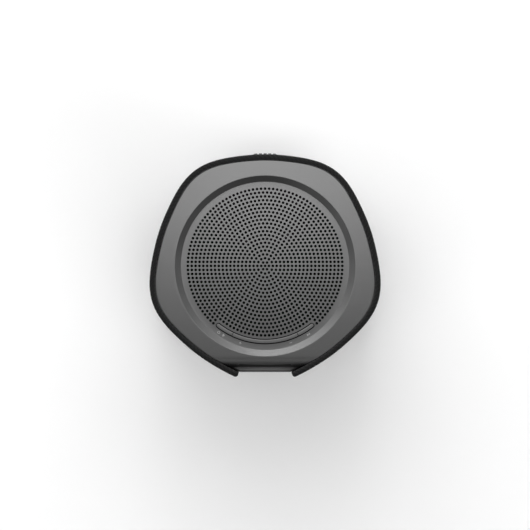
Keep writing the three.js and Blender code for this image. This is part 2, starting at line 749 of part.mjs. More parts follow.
function electronics() {
  const back = BOARD.frontY + BOARD.thickness;
  const board = box([-BOARD.halfWidth, BOARD.frontY, BOARD.bottom], [BOARD.halfWidth, back, BOARD.top]);
  const shield = box([-24, back + 0.1, 134], [-8, back + 2.6, 152]);
  const block = box([2, back + 0.1, 126], [24, back + 8, 146]);
  const fins = [6, 10.4, 14.8, 19.2].map((x) => box([x, back + 2.5, 120], [x + 2.4, 60, 150]));
  const cradleLow = CELL.bottom - 2.5;
  const cradleHigh = CELL.bottom + CELL.length + 2.5;
  const cradle = box([-20.2, BOX.bayY + 0.3, cradleLow], [20.2, 44, cradleHigh]);
  const cell = (x, clearance) =>
    at(
      cylinder(CELL.radius + clearance, 0, CELL.length + 2 * clearance, 28),
      x,
      CELL.y,
      CELL.bottom - clearance,
    );
  const sides = { left: CELL.x, right: -CELL.x };
  const cells = Object.entries(sides).map(([side, x]) =>
    piece(`battery_cell_${side}`, cell(x, 0), CELL_WRAP),
  );
  return [
    piece("main_board", board, BOARD_GREEN),
    piece("radio_shield", shield, STEEL),
    piece("heat_sink", cut(block, ...fins), ANODISED),
    piece("battery_cradle", cut(cradle, cell(CELL.x, 0.2), cell(-CELL.x, 0.2)), DARK_PLASTIC),
    ...cells,
  ];
}

function wiring() {
  const ribbon = new THREE.Shape([
    new THREE.Vector2(41.0, 168.9), new THREE.Vector2(44.6, 168.9), new THREE.Vector2(44.8, 168.7),
    new THREE.Vector2(44.8, 158.6), new THREE.Vector2(36.0, 158.6), new THREE.Vector2(36.0, 158.2),
    new THREE.Vector2(45.2, 158.2), new THREE.Vector2(45.2, 168.9), new THREE.Vector2(44.8, 169.3),
    new THREE.Vector2(41.0, 169.3),
  ]);
  const batteryLead = lead(
    [[14, 45, 106.4], [14.6, 45.4, 110], [16.5, 44, 115], [18, 40, 117], [18, 36.2, 117]],
    1.2,
  );
  const portLead = lead(
    [
      [-11, 38, 24.9],
      [-14, 38.5, 27.5],
      [-24, 39, 38],
      [-25, 39.5, 70],
      [-25, 39, 102],
      [-24, 37.4, 113],
    ],
    1.2,
  );
  return [
    piece("ribbon_cable", alongX(ribbon, 8), DARK_PLASTIC),
    piece("battery_lead", batteryLead, RUBBER),
    piece("port_lead", portLead, RUBBER),
  ];
}

// ---------------------------------------------------------------- the speaker

const speaker = new THREE.Group();
speaker.add(
  fabricWrap(),
  wrapCarrier(),
  badge(),
  topPlate(),
  ...buttons(),
  ...underPlate(),
  baffle(),
  acousticBox(),
  baseCap(),
  ...baseScrews(),
  footRing(),
  ...woofer(),
  ...sideDriver(1),
  ...sideDriver(-1),
  ...passiveRadiator(),
  backPanel(),
  portFlap(),
  ...ports(),
  ...electronics(),
  ...wiring(),
);

export default speaker;
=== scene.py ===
"""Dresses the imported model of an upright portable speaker.

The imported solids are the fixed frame. The parts that show are rebuilt here as fine surfaces worked
out with numpy: the woven wrap, the perforated top plate, the keys with their signs, the back strip,
the port flap and the badge. The rest keep their solids and get a finish of their own.

Everything is in metres, +Z up, with the badge facing -Y and the back strip facing +Y.
"""

from __future__ import annotations

import json
import logging
import math
from dataclasses import dataclass, field
from enum import Enum
from typing import Callable, Iterable, Sequence

import bmesh
import bpy
import numpy as np
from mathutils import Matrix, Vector
from mathutils.geometry import delaunay_2d_cdt

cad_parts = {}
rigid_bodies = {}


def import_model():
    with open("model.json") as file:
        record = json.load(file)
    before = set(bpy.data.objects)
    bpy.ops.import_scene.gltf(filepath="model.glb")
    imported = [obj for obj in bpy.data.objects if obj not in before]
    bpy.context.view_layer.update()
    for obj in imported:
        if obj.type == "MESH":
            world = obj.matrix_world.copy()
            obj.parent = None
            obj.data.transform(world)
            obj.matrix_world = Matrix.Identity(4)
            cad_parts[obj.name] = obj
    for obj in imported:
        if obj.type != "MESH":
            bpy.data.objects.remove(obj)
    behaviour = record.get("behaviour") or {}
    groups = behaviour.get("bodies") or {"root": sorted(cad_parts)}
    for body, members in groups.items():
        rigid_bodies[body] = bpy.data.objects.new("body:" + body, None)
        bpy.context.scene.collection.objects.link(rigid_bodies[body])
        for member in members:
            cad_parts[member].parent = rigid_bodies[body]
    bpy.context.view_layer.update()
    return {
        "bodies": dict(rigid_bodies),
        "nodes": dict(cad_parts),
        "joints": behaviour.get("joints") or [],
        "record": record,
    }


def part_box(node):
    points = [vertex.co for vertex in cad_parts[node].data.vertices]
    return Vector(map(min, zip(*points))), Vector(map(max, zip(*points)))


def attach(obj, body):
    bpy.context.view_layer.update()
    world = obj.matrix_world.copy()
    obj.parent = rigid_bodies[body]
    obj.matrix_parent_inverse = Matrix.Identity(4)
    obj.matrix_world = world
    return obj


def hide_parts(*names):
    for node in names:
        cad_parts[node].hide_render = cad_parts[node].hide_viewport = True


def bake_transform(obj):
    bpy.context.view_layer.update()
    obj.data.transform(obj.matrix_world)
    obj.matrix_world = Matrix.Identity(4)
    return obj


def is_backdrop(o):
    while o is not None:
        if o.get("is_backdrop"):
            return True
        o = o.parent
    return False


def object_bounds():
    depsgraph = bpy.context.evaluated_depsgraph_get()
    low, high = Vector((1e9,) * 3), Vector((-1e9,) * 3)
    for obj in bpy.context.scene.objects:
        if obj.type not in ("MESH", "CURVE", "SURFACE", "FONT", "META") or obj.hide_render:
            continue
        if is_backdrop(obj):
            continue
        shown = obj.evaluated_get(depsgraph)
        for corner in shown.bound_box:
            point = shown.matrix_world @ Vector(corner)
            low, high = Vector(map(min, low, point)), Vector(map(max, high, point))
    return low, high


LOG = logging.getLogger("speaker")
MM = 0.001


# Surfaces


def stacked(*columns: np.ndarray) -> np.ndarray:
    """Coordinates that broadcast together, stacked into points on the last axis."""
    return np.stack(np.broadcast_arrays(*columns), axis=-1).astype(float)


def polar(turn: np.ndarray | float, reach: np.ndarray | float, *more: np.ndarray) -> np.ndarray:
    """Points (r sin t, r cos t, ...) at a distance r and an angle t from +Y towards +X."""
    return stacked(reach * np.sin(turn), reach * np.cos(turn), *more)


def grid_faces(rows: int, columns: int, first: int) -> np.ndarray:
    """Quads between neighbouring rows and columns of a grid.

    Args:
        rows: Number of rows of points.
        columns: Number of points in a row.
        first: Number of the grid's first point in the mesh.

    Returns:
        One row of four point numbers for each quad.
    """
    index = first + np.arange(rows * columns).reshape(rows, columns)
    corners = (index[:-1, :-1], index[:-1, 1:], index[1:, 1:], index[1:, :-1])
    return np.stack(corners, axis=-1).reshape(-1, 4)


@dataclass
class Surface:
    """A piece in the making: grids and triangles that are joined where their points meet.

    Attributes:
        name: The piece's name.
        points: Arrays of points, one for each patch.
        faces: Lists of point numbers, one for each patch.
        cloth: For each patch, distances along and across the cloth, or None.
        finish: For each patch, the number of its material on the piece.
    """

    name: str
    points: list[np.ndarray] = field(default_factory=list)
    faces: list[list[list[int]]] = field(default_factory=list)
    cloth: list[np.ndarray | None] = field(default_factory=list)
    finish: list[int] = field(default_factory=list)

    def _count(self) -> int:
        """Number of points so far."""
        return sum(len(patch) for patch in self.points)

    def add_grid(
        self, points: np.ndarray, cloth: np.ndarray | None = None, finish: int = 0
    ) -> None:
        """Adds a grid of points and the quads between them.

        Args:
            points: Array of rows by columns by 3.
            cloth: Array of rows by columns by 2 with distances along the cloth.
            finish: Number of the patch's material on the piece.
        """
        rows, columns = points.shape[:2]
        self.faces.append(grid_faces(rows, columns, self._count()).tolist())
        self.points.append(points.reshape(-1, 3))
        self.cloth.append(None if cloth is None else cloth.reshape(-1, 2))
        self.finish.append(finish)

    def add_faces(self, points: np.ndarray, faces: Iterable[Sequence[int]]) -> None:
        """Adds loose faces.

        Args:
            points: Array of points.
            faces: Point numbers of each face, counted from the first of these points.
        """
        first = self._count()
        self.faces.append([[first + corner for corner in face] for face in faces])
        self.points.append(points.reshape(-1, 3))
        self.cloth.append(None)
        self.finish.append(0)

    def finished(self, crease: float = 30.0, seam: float = 2e-6) -> bpy.types.Object:
        """Joins the patches into one object at the origin, closed and facing outwards.

        Args:
            crease: Edges that turn by more degrees than this stay sharp.
            seam: Points closer than this many metres become one.

        Returns:
            The finished object, linked to the scene.
        """
        mesh = bpy.data.meshes.new(self.name)
        faces = [face for patch in self.faces for face in patch]
        mesh.from_pydata(np.concatenate(self.points).tolist(), [], faces)
        painted = np.repeat(self.finish, [len(patch) for patch in self.faces])
        mesh.polygons.foreach_set("material_index", painted.astype(np.int32))
        if any(patch is not None for patch in self.cloth):
            self._lay_cloth(mesh)
        shape = bmesh.new()
        shape.from_mesh(mesh)
        bmesh.ops.remove_doubles(shape, verts=shape.verts, dist=seam)
        bmesh.ops.dissolve_degenerate(shape, dist=seam / 2, edges=shape.edges)
        bmesh.ops.recalc_face_normals(shape, faces=shape.faces)
        shape.to_mesh(mesh)
        shape.free()
        mesh.polygons.foreach_set("use_smooth", np.ones(len(mesh.polygons), bool))
        mesh.set_sharp_from_angle(angle=math.radians(crease))
        made = bpy.data.objects.new(self.name, mesh)
        bpy.context.scene.collection.objects.link(made)
        return made

    def _lay_cloth(self, mesh: bpy.types.Mesh) -> None:
        """Writes the distances along the cloth to a UV map, corner by corner."""
        blank = [np.zeros((len(p), 2)) if c is None else c for p, c in zip(self.points, self.cloth)]
        places = np.concatenate(blank)
        corners = np.empty(len(mesh.loops), np.int32)
        mesh.loops.foreach_get("vertex_index", corners)
        layer = mesh.uv_layers.new(name="cloth")
        layer.data.foreach_set("uv", places[corners].astype(np.float32).ravel())


def turned(profile: np.ndarray, turns: int = 96) -> np.ndarray:
    """Points of a surface turned about the Z axis.

    x = r sin t, y = r cos t, z = z, for each profile point (r, z) and each angle t of a full turn.

    Args:
        profile: Array of radius and height.
        turns: Number of steps round.

    Returns:
        Array of profile points by angles by 3, whose first and last columns meet.
    """
    turn = np.linspace(0, 2 * np.pi, turns + 1)
    return polar(turn, profile[:, :1], profile[:, 1:])


def quarter(steps: int) -> np.ndarray:
    """Angles of a quarter turn, from 0 to a right angle."""
    return np.linspace(0, np.pi / 2, steps)


def rounded_outline(width: float, height: float, radius: float, corner: int = 8) -> np.ndarray:
    """A rectangle with round corners, as a closed loop of points whose first and last meet.

    Args:
        width: Full width.
        height: Full height.
        radius: Corner radius.
        corner: Points in each corner.

    Returns:
        Array of points, centred on the origin.
    """
    angle = np.concatenate([quarter(corner) + k * np.pi / 2 for k in range(4)])
    across = np.repeat([1, -1, -1, 1], corner) * (width / 2 - radius)
    up = np.repeat([1, 1, -1, -1], corner) * (height / 2 - radius)
    loop = stacked(across + radius * np.cos(angle), up + radius * np.sin(angle))
    return np.concatenate([loop, loop[:1]])


def pillow(outline: np.ndarray, back: float, front: float, round_over: float) -> np.ndarray:
    """A flat pad with a rounded front rim, as rings of (outline x, depth, outline y).

    The outline shrinks by s = q (1 - cos a) while the depth grows by q sin a over the rim, where q
    is the rim's radius; the first and last rings close on the middle.

    Args:
        outline: Closed loop of points about the origin.
        back: Depth of the back face.
        front: Depth of the front face.
        round_over: Radius of the front rim.

    Returns:
        Array of rings by points by 3.
    """
    angle = quarter(6)
    way = 1.0 if front > back else -1.0
    shrink = np.concatenate([[np.inf, 0.0], round_over * (1 - np.cos(angle)), [np.inf]])
    rim = front - way * round_over * (1 - np.sin(angle))
    depth = np.concatenate([[back, back], rim, [front]])
    reach = np.linalg.norm(outline, axis=1, keepdims=True)
    inwards = outline / np.maximum(reach, 1e-9)
    rings = [
        outline * 0 if np.isinf(s) else outline - inwards * s * np.minimum(1, reach / s if s else 1)
        for s in shrink
    ]
    loops = np.stack(rings)
    return stacked(loops[..., 0], depth[:, None], loops[..., 1])


# Shader maths


@dataclass(frozen=True)
class Signal:
    """A shader socket that can be used in arithmetic, which adds Math nodes."""

    recipe: "Recipe"
    socket: bpy.types.NodeSocket

    def _math(self, operation: str, *terms: "Signal | float") -> "Signal":
        """A Math node on these terms."""
        inputs = dict(enumerate(terms))
        return self.recipe.node("ShaderNodeMath", {"operation": operation}, inputs)

    def __add__(self, other: "Signal | float") -> "Signal":
        """Sum."""
        return self._math("ADD", self, other)

    def __radd__(self, other: float) -> "Signal":
        """Sum with a number on the left."""
        return self._math("ADD", other, self)

    def __sub__(self, other: "Signal | float") -> "Signal":
        """Difference."""
        return self._math("SUBTRACT", self, other)

    def __rsub__(self, other: float) -> "Signal":
        """Difference from a number."""
        return self._math("SUBTRACT", other, self)

    def __mul__(self, other: "Signal | float") -> "Signal":
        """Product."""
        return self._math("MULTIPLY", self, other)

    def __rmul__(self, other: float) -> "Signal":
        """Product with a number on the left."""
        return self._math("MULTIPLY", other, self)

    def __truediv__(self, other: "Signal | float") -> "Signal":
        """Quotient."""
        return self._math("DIVIDE", self, other)

    def __rtruediv__(self, other: float) -> "Signal":
        """Quotient of a number."""
        return self._math("DIVIDE", other, self)

    def __gt__(self, other: "Signal | float") -> "Signal":
        """1 where this is the greater."""
        return self._math("GREATER_THAN", self, other)

    def wave(self) -> "Signal":
        """Sine."""
        return self._math("SINE", self)

    def at_least(self, other: "Signal | float") -> "Signal":
        """The greater of two."""
        return self._math("MAXIMUM", self, other)

    def clipped(self) -> "Signal":
        """Held between 0 and 1."""
        return self._math("MINIMUM", self._math("MAXIMUM", self, 0.0), 1.0)


Value = "Signal | float | tuple[float, ...]"


class Recipe:
    """A material in the making, with a principled shader already joined to its output."""

    def __init__(self, name: str) -> None:
        """Makes an empty material.

        Args:
            name: The material's name.
        """
        self.material = bpy.data.materials.new(name)
        self.material.use_nodes = True
        self.tree = self.material.node_tree
        self.tree.nodes.clear()
        shader = self.node("ShaderNodeBsdfPrincipled", {}, {}, "BSDF")
        self.shader = shader.socket.node
        self.node("ShaderNodeOutputMaterial", {}, {"Surface": shader}, None)

    @staticmethod
    def _found(sockets: Iterable[bpy.types.NodeSocket], key: str | int) -> bpy.types.NodeSocket:
        """The socket with that identifier, name or number."""
        every = list(sockets)
        if isinstance(key, int):
            return every[key]
        exact = [s for s in every if s.identifier == key]
        return (exact or [s for s in every if s.name == key])[0]

    def node(self, kind: str, settings: dict, inputs: dict, output: str | int | None = 0) -> Signal:
        """Adds a node.

        Args:
            kind: The node's type.
            settings: Its properties, set before its sockets.
            inputs: Socket name or number to a value or a signal.
            output: Which output to give back, or None for a node without one.

        Returns:
            The output as a signal.
        """
        made = self.tree.nodes.new(kind)
        for key, value in settings.items():
            setattr(made, key, value)
        for key, value in inputs.items():
            self._join(self._found(made.inputs, key), value)
        found = None if output is None else self._found(made.outputs, output)
        return Signal(self, found)

    def _join(self, socket: bpy.types.NodeSocket, value: Value) -> None:
        """Links a signal to a socket, or sets the socket's value."""
        if isinstance(value, Signal):
            self.tree.links.new(value.socket, socket)
        else:
            socket.default_value = value

    def dress(self, **sockets: Value) -> None:
        """Sets or links the principled shader's sockets, with _ for each space in a name."""
        for key, value in sockets.items():
            name = key.replace("_", " ")
            colour = isinstance(value, tuple) and len(value) == 3
            self._join(self._found(self.shader.inputs, name), (*value, 1.0) if colour else value)

    def place(self) -> Signal:
        """Object coordinates, in metres."""
        return self.node("ShaderNodeTexCoord", {}, {}, "Object")

    def cloth(self) -> tuple[Signal, Signal]:
        """Distances along and across the cloth, in millimetres."""
        spot = self.node("ShaderNodeUVMap", {"uv_map": "cloth"}, {}, "UV")
        along, across, _ = self.split(spot)
        return along / MM, across / MM

    def split(self, vector: Signal) -> tuple[Signal, Signal, Signal]:
        """The three parts of a vector."""
        node = self.node("ShaderNodeSeparateXYZ", {}, {0: vector}, "X").socket.node
        return tuple(Signal(self, out) for out in node.outputs)

    def noise(self, scale: float, detail: float = 3.0, stretch: tuple = (1, 1, 1)) -> Signal:
        """Soft noise from 0 to 1.

        Args:
            scale: Number of blotches in a metre.
            detail: How many finer layers it has.
            stretch: Scale along each axis, below 1 for streaks.

        Returns:
            The noise.
        """
        inputs = {"Vector": self.place(), "Scale": stretch}
        drawn = self.node("ShaderNodeMapping", {}, inputs, "Vector")
        inputs = {"Vector": drawn, "Scale": scale, "Detail": detail, "Roughness": 0.6}
        return self.node("ShaderNodeTexNoise", {}, inputs, 0)

    def tint(self, dark: tuple, light: tuple, factor: Signal) -> Signal:
        """A colour between two.

        Args:
            dark: Colour at factor 0.
            light: Colour at factor 1.
            factor: Share of the second colour.

        Returns:
            The colour.
        """
        inputs = {"Factor_Float": factor, "A_Color": (*dark, 1.0), "B_Color": (*light, 1.0)}
        settings = {"data_type": "RGBA", "clamp_factor": True}
        return self.node("ShaderNodeMix", settings, inputs, "Result_Color")

    def relief(self, height: Signal, depth: float, strength: float = 1.0) -> Signal:
        """A normal from a height.

        Args:
            height: Height from 0 to 1.
            depth: Height of 1, in metres.
            strength: Share of the relief that shows.

        Returns:
            The normal.
        """
        inputs = {"Height": height, "Distance": depth, "Strength": strength}
        return self.node("ShaderNodeBump", {}, inputs, "Normal")


# Finishes


def grey(level: float) -> tuple[float, float, float]:
    """A neutral colour."""
    return (level, level, level)


@dataclass(frozen=True)
class WovenCloth:
    """Charcoal cloth whose yarns cross on the slant.

    Attributes:
        yarn: Distance between yarns, in millimetres.
        dark: Colour between the yarns, darker there as painted shade.
        light: Colour of the yarns' crests.
    """

    yarn: float = 1.16
    dark: float = 0.0015
    light: float = 0.0125

    def made(self) -> bpy.types.Material:
        """Crests where two families of slanting waves meet, over and under by turns; the colour is
        darker between the crests as painted shade, and the fine flecks are the yarn's own.
        """
        recipe = Recipe("woven_cloth")
        along, across = recipe.cloth()
        waver = (recipe.noise(900, 2) - 0.5) * 0.35
        step = 2 * math.pi / self.yarn
        rising = ((along + across + waver) * step).wave() * 0.5 + 0.5
        falling = ((along - across - waver) * step * 0.5).wave() * 0.5 + 0.5
        crest = (rising * (falling * 0.65 + 0.35)).clipped()
        fibre = recipe.noise(9000, 2)
        # Painted shade between the yarns, with the yarn's own flecks.
        shade = (crest * 0.8 + fibre * 0.35 - 0.05).clipped()
        recipe.dress(
            Base_Color=recipe.tint(grey(self.dark), grey(self.light), shade),
            Roughness=0.95,
            Specular_IOR_Level=0.12,
            Sheen_Weight=0.045,
            Sheen_Roughness=0.5,
            Normal=recipe.relief(crest * 0.8 + fibre * 0.2, 0.35 * MM),
        )
        return recipe.material


@dataclass(frozen=True)
class BlastedMetal:
    """Bead-blasted, dyed aluminium with a fine, even grain.

    Attributes:
        name: The finish's name.
        shade: Grey level of its base colour.
        roughness: Its mean roughness.
        metal: Share of metallic shine.
        graze: Reflection near the horizon, as a share of a plain metal's; the dye takes the rest.
    """

    name: str = "blasted_metal"
    shade: float = 0.2
    roughness: float = 0.5
    metal: float = 1.0
    graze: float = 0.3

    def made(self) -> bpy.types.Material:
        """Fine grain in the relief and roughness, faint cloudiness in the colour."""
        recipe = Recipe(self.name)
        grain = recipe.noise(7000, 2)
        cloud = recipe.noise(45, 3)
        shade = (cloud * 0.6 + grain * 0.4).clipped()
        recipe.dress(
            Base_Color=recipe.tint(grey(self.shade * 0.93), grey(self.shade * 1.07), shade),
            Metallic=self.metal,
            Specular_Tint=grey(self.graze),
            Roughness=grain * 0.08 + (self.roughness - 0.04),
            Normal=recipe.relief(grain, 0.02 * MM, 0.5),
        )
        return recipe.material


@dataclass(frozen=True)
class MouldedPlastic:
    """Dark plastic with a fine spark-eroded texture.

    Attributes:
        name: The finish's name.
        shade: Grey level of its base colour.
        roughness: Its mean roughness.
        texture: Number of texture pits in a metre.
        shine: Strength of its reflections.
    """

    name: str = "moulded_plastic"
    shade: float = 0.028
    roughness: float = 0.55
    texture: float = 2600
    shine: float = 0.5

    def made(self) -> bpy.types.Material:
        """Small pits in the relief, with a slight change of shade over larger areas."""
        recipe = Recipe(self.name)
        pits = recipe.noise(self.texture, 2)
        cloud = recipe.noise(30, 2)
        recipe.dress(
            Base_Color=recipe.tint(grey(self.shade * 0.85), grey(self.shade * 1.2), cloud),
            Roughness=pits * 0.15 + (self.roughness - 0.07),
            Specular_IOR_Level=self.shine,
            Normal=recipe.relief(pits, 0.03 * MM, 0.6),
        )
        return recipe.material


@dataclass(frozen=True)
class SoftRubber:
    """Matt black rubber with a dusty bloom.

    Attributes:
        shade: Grey level of its base colour.
    """

    shade: float = 0.014

    def made(self) -> bpy.types.Material:
        """A bloom that lightens it in soft patches."""
        recipe = Recipe("soft_rubber")
        bloom = recipe.noise(120, 4)
        skin = recipe.noise(4000, 2)
        recipe.dress(
            Base_Color=recipe.tint(grey(self.shade * 0.8), grey(self.shade * 1.7), bloom),
            Roughness=bloom * 0.12 + 0.72,
            Specular_IOR_Level=0.35,
            Normal=recipe.relief(skin, 0.02 * MM, 0.5),
        )
        return recipe.material


@dataclass(frozen=True)
class Grained:
    """A material whose colour, roughness and relief all follow one noise.

    Attributes:
        name: The finish's name.
        dark: Colour where the noise is low.
        light: Colour where it is high.
        grain: The noise's blotches in a metre, and how many finer layers it has.
        roughness: Least roughness, and how much the noise adds.
        stretch: Scale of the noise along each axis, below 1 for streaks or fibres.
        depth: Height of the relief, in metres, where 0 is none.
        strength: Share of the relief that shows.
        shine: Strength of its reflections.
        metal: Share of metallic shine.
    """

    name: str
    dark: tuple[float, float, float]
    light: tuple[float, float, float]
    grain: tuple[float, float]
    roughness: tuple[float, float]
    stretch: tuple[float, float, float] = (1, 1, 1)
    depth: float = 0.0
    strength: float = 1.0
    shine: float = 0.5
    metal: float = 0.0

    def made(self) -> bpy.types.Material:
        """One noise in the colour, and in the roughness and relief where they vary."""
        recipe = Recipe(self.name)
        grain = recipe.noise(*self.grain, self.stretch)
        least, added = self.roughness
        recipe.dress(
            Base_Color=recipe.tint(self.dark, self.light, grain),
            Metallic=self.metal,
            Roughness=grain * added + least if added else least,
            Specular_IOR_Level=self.shine,
        )
        if self.depth:
            recipe.dress(Normal=recipe.relief(grain, self.depth, self.strength))
        return recipe.material


def rolled_steel(name: str, colour: tuple[float, float, float], roughness: float) -> Grained:
    """Plain or plated steel with rolling streaks.

    Args:
        name: The finish's name.
        colour: Its lighter colour.
        roughness: Its mean roughness.

    Returns:
        The finish.
    """
    dark = tuple(0.82 * part for part in colour)
    streaks, spread = (1800, 3), 0.14
    rough = (roughness - spread / 2, spread)
    return Grained(name, dark, colour, streaks, rough, stretch=(1, 0.04, 1), metal=1.0)


@dataclass(frozen=True)
class SolderMask:
    """Circuit board: green mask over copper tracks, which show as raised lighter lines.

    Attributes:
        pitch: Distance between tracks, in metres.
    """

    pitch: float = 1.6 * MM

    def made(self) -> bpy.types.Material:
        """Tracks where a square wave on a slant is high, broken up by large noise."""
        recipe = Recipe("solder_mask")
        x, y, z = recipe.split(recipe.place())
        runs = ((x + y + z) * (2 * math.pi / self.pitch)).wave()
        area = recipe.noise(90, 1)
        tracks = (runs > 0.35) * (area > 0.48)
        recipe.dress(
            Base_Color=recipe.tint((0.006, 0.05, 0.022), (0.02, 0.12, 0.05), tracks),
            Roughness=0.35,
            Coat_Weight=0.4,
            Normal=recipe.relief(tracks, 0.03 * MM, 0.5),
        )
        return recipe.material


@dataclass(frozen=True)
class WoundCopper:
    """Enamelled wire, wound in turns up the axis.

    Attributes:
        wire: Distance between turns, in metres.
    """

    wire: float = 0.35 * MM

    def made(self) -> bpy.types.Material:
        """Round wires as waves along z, in relief and colour; the colour darkens between the turns as
        painted shade.
        """
        recipe = Recipe("wound_copper")
        height = recipe.split(recipe.place())[2]
        turns = (height * (2 * math.pi / self.wire)).wave() * 0.5 + 0.5
        # Painted shade in the grooves between the turns.
        recipe.dress(
            Base_Color=recipe.tint((0.25, 0.08, 0.03), (0.72, 0.3, 0.14), turns),
            Metallic=1.0,
            Roughness=0.3,
            Normal=recipe.relief(turns, 0.15 * MM),
        )
        return recipe.material


@dataclass(frozen=True)
class FineScreen:
    """Black screen cloth, seen only through holes.

    Attributes:
        mesh: Distance between threads, in metres.
    """

    mesh: float = 0.4 * MM

    def made(self) -> bpy.types.Material:
        """A square net of threads as crossed waves."""
        recipe = Recipe("fine_screen")
        x, y, _ = recipe.split(recipe.place())
        step = 2 * math.pi / self.mesh
        net = ((x * step).wave().at_least((y * step).wave()) * 0.5 + 0.5).clipped()
        recipe.dress(
            Base_Color=recipe.tint(grey(0.0008), grey(0.004), net),
            Roughness=1.0,
            Specular_IOR_Level=0.05,
            Normal=recipe.relief(net, 0.1 * MM, 0.5),
        )
        return recipe.material


class Finish(Enum):
    """Every finish in the speaker, made once when first used."""

    CLOTH = WovenCloth()
    PLATE = BlastedMetal("plate_metal", shade=0.078, roughness=0.4)
    KEY = BlastedMetal("key_metal", shade=0.095, roughness=0.4)
    # Near-black finish painted where shade falls: the walls of the holes and the key slot, the keys'
    # sides and flanges, and the end of the roll.
    CUT = MouldedPlastic("painted_shade_edge", shade=0.006, roughness=0.8, texture=3200, shine=0.1)
    SINK = BlastedMetal("sink_metal", shade=0.4, roughness=0.4)
    PLASTIC = MouldedPlastic()
    STRIP = MouldedPlastic("strip_plastic", shade=0.03, roughness=0.6, texture=3200, shine=0.25)
    # Paler copy of the strip's plastic for its up-facing faces, a painted highlight of the light from
    # above.
    LEDGE = MouldedPlastic("ledge_painted_light", shade=0.095, roughness=0.5, texture=3200)
    RUBBER = SoftRubber()
    PULP = Grained(
        "pressed_pulp", grey(0.012), grey(0.06), (1400, 4), (0.9, 0),
        stretch=(1, 1, 0.3), depth=0.08 * MM, strength=0.7,
    )
    STEEL = rolled_steel("rolled_steel", (0.5, 0.5, 0.51), 0.34)
    BADGE = rolled_steel("badge_steel", (0.07, 0.07, 0.072), 0.42)
    FERRITE = Grained(
        "sintered_ferrite", grey(0.02), grey(0.07), (2200, 5), (0.6, 0.2),
        depth=0.05 * MM, strength=0.6,
    )
    BOARD = SolderMask()
    CELL = Grained(
        "shrink_film", (0.012, 0.07, 0.22), (0.02, 0.1, 0.3), (160, 3), (0.28, 0.1),
        stretch=(1, 1, 0.25), depth=0.1 * MM, strength=0.4,
    )
    COPPER = WoundCopper()
    SCREEN = FineScreen()
    INK = Grained("printed_ink", grey(0.176), grey(0.22), (3000, 2), (0.6, 0))
    FLOOR = Grained("pale_floor", grey(0.9154), grey(0.92), (8, 2), (0.9, 0), shine=0.1)

    def material(self) -> bpy.types.Material:
        """The Blender material of this finish."""
        if self.name not in _MADE:
            _MADE[self.name] = self.value.made()
        return _MADE[self.name]


_MADE: dict[str, bpy.types.Material] = {}

SLOT_FINISH = {
    "fabric": Finish.CLOTH,
    "anodised": Finish.SINK,
    "dark_plastic": Finish.PLASTIC,
    "rubber": Finish.RUBBER,
    "paper": Finish.PULP,
    "steel": Finish.STEEL,
    "ferrite": Finish.FERRITE,
    "board": Finish.BOARD,
    "cell_wrap": Finish.CELL,
    "copper": Finish.COPPER,
}


def fitted(made: bpy.types.Object, finish: Finish, body: str, slot: str, *nodes: str) -> None:
    """Gives a new piece its finish, the body it moves with and the solids it stands for.

    Args:
        made: The piece.
        finish: What it is made of.
        body: The body it rides on.
        slot: The record's material slot; not used.
        nodes: The CAD nodes that it replaces.
    """
    made.data.materials.append(finish.material())
    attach(made, body)
    if nodes:
        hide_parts(*nodes)
    LOG.info("%s on %s, %d faces", made.name, body, len(made.data.polygons))


def second_finish(
    made: bpy.types.Object,
    finish: Finish,
    choose: Callable[[np.ndarray, np.ndarray], np.ndarray],
) -> None:
    """Gives some faces of a fitted piece a second finish.

    Args:
        made: The piece.
        finish: The second finish.
        choose: Tells, from the faces' centres and normals, which of them have it.
    """
    faces = made.data.polygons
    centres = np.empty(3 * len(faces), dtype=np.float32)
    normals = np.empty(3 * len(faces), dtype=np.float32)
    slots = np.empty(len(faces), dtype=np.int32)
    faces.foreach_get("center", centres)
    faces.foreach_get("normal", normals)
    faces.foreach_get("material_index", slots)
    slots[choose(centres.reshape(-1, 3), normals.reshape(-1, 3))] = 1
    faces.foreach_set("material_index", slots)
    made.data.materials.append(finish.material())


# The speaker's outline


@dataclass(frozen=True)
class Outline:
    """The five-lobed plan: R(t) = mean + lobe cos 5t + crisp cos 10t, with t from the back corner."""

    mean: float = 59.3 * MM
    lobe: float = 1.79 * MM
    crisp: float = 0.25 * MM

    def radius(self, turn: np.ndarray | float) -> np.ndarray:
        """Distance from the axis to the outer face at each angle."""
        return self.mean + self.lobe * np.cos(5 * turn) + self.crisp * np.cos(10 * turn)

    def at(self, turn: np.ndarray, inset: np.ndarray | float) -> tuple[np.ndarray, np.ndarray]:
        """x and y of points inset from the outer face.

        Args:
            turn: Angles from +Y towards +X.
            inset: Distances inwards from the face.

        Returns:
            The x and the y coordinates.
        """
        reach = self.radius(turn) - inset
        return reach * np.sin(turn), reach * np.cos(turn)

    def turn_at_back(self, inset: float, back: float) -> float:
        """Angle at which the inset outline crosses the plane y = back, found by halving."""
        low, high = 0.0, math.radians(40)
        for _ in range(40):
            middle = (low + high) / 2
            crossing = (self.radius(middle) - inset) * math.cos(middle)
            low, high = (middle, high) if crossing > back else (low, middle)
        return low


# The wrap and its badge


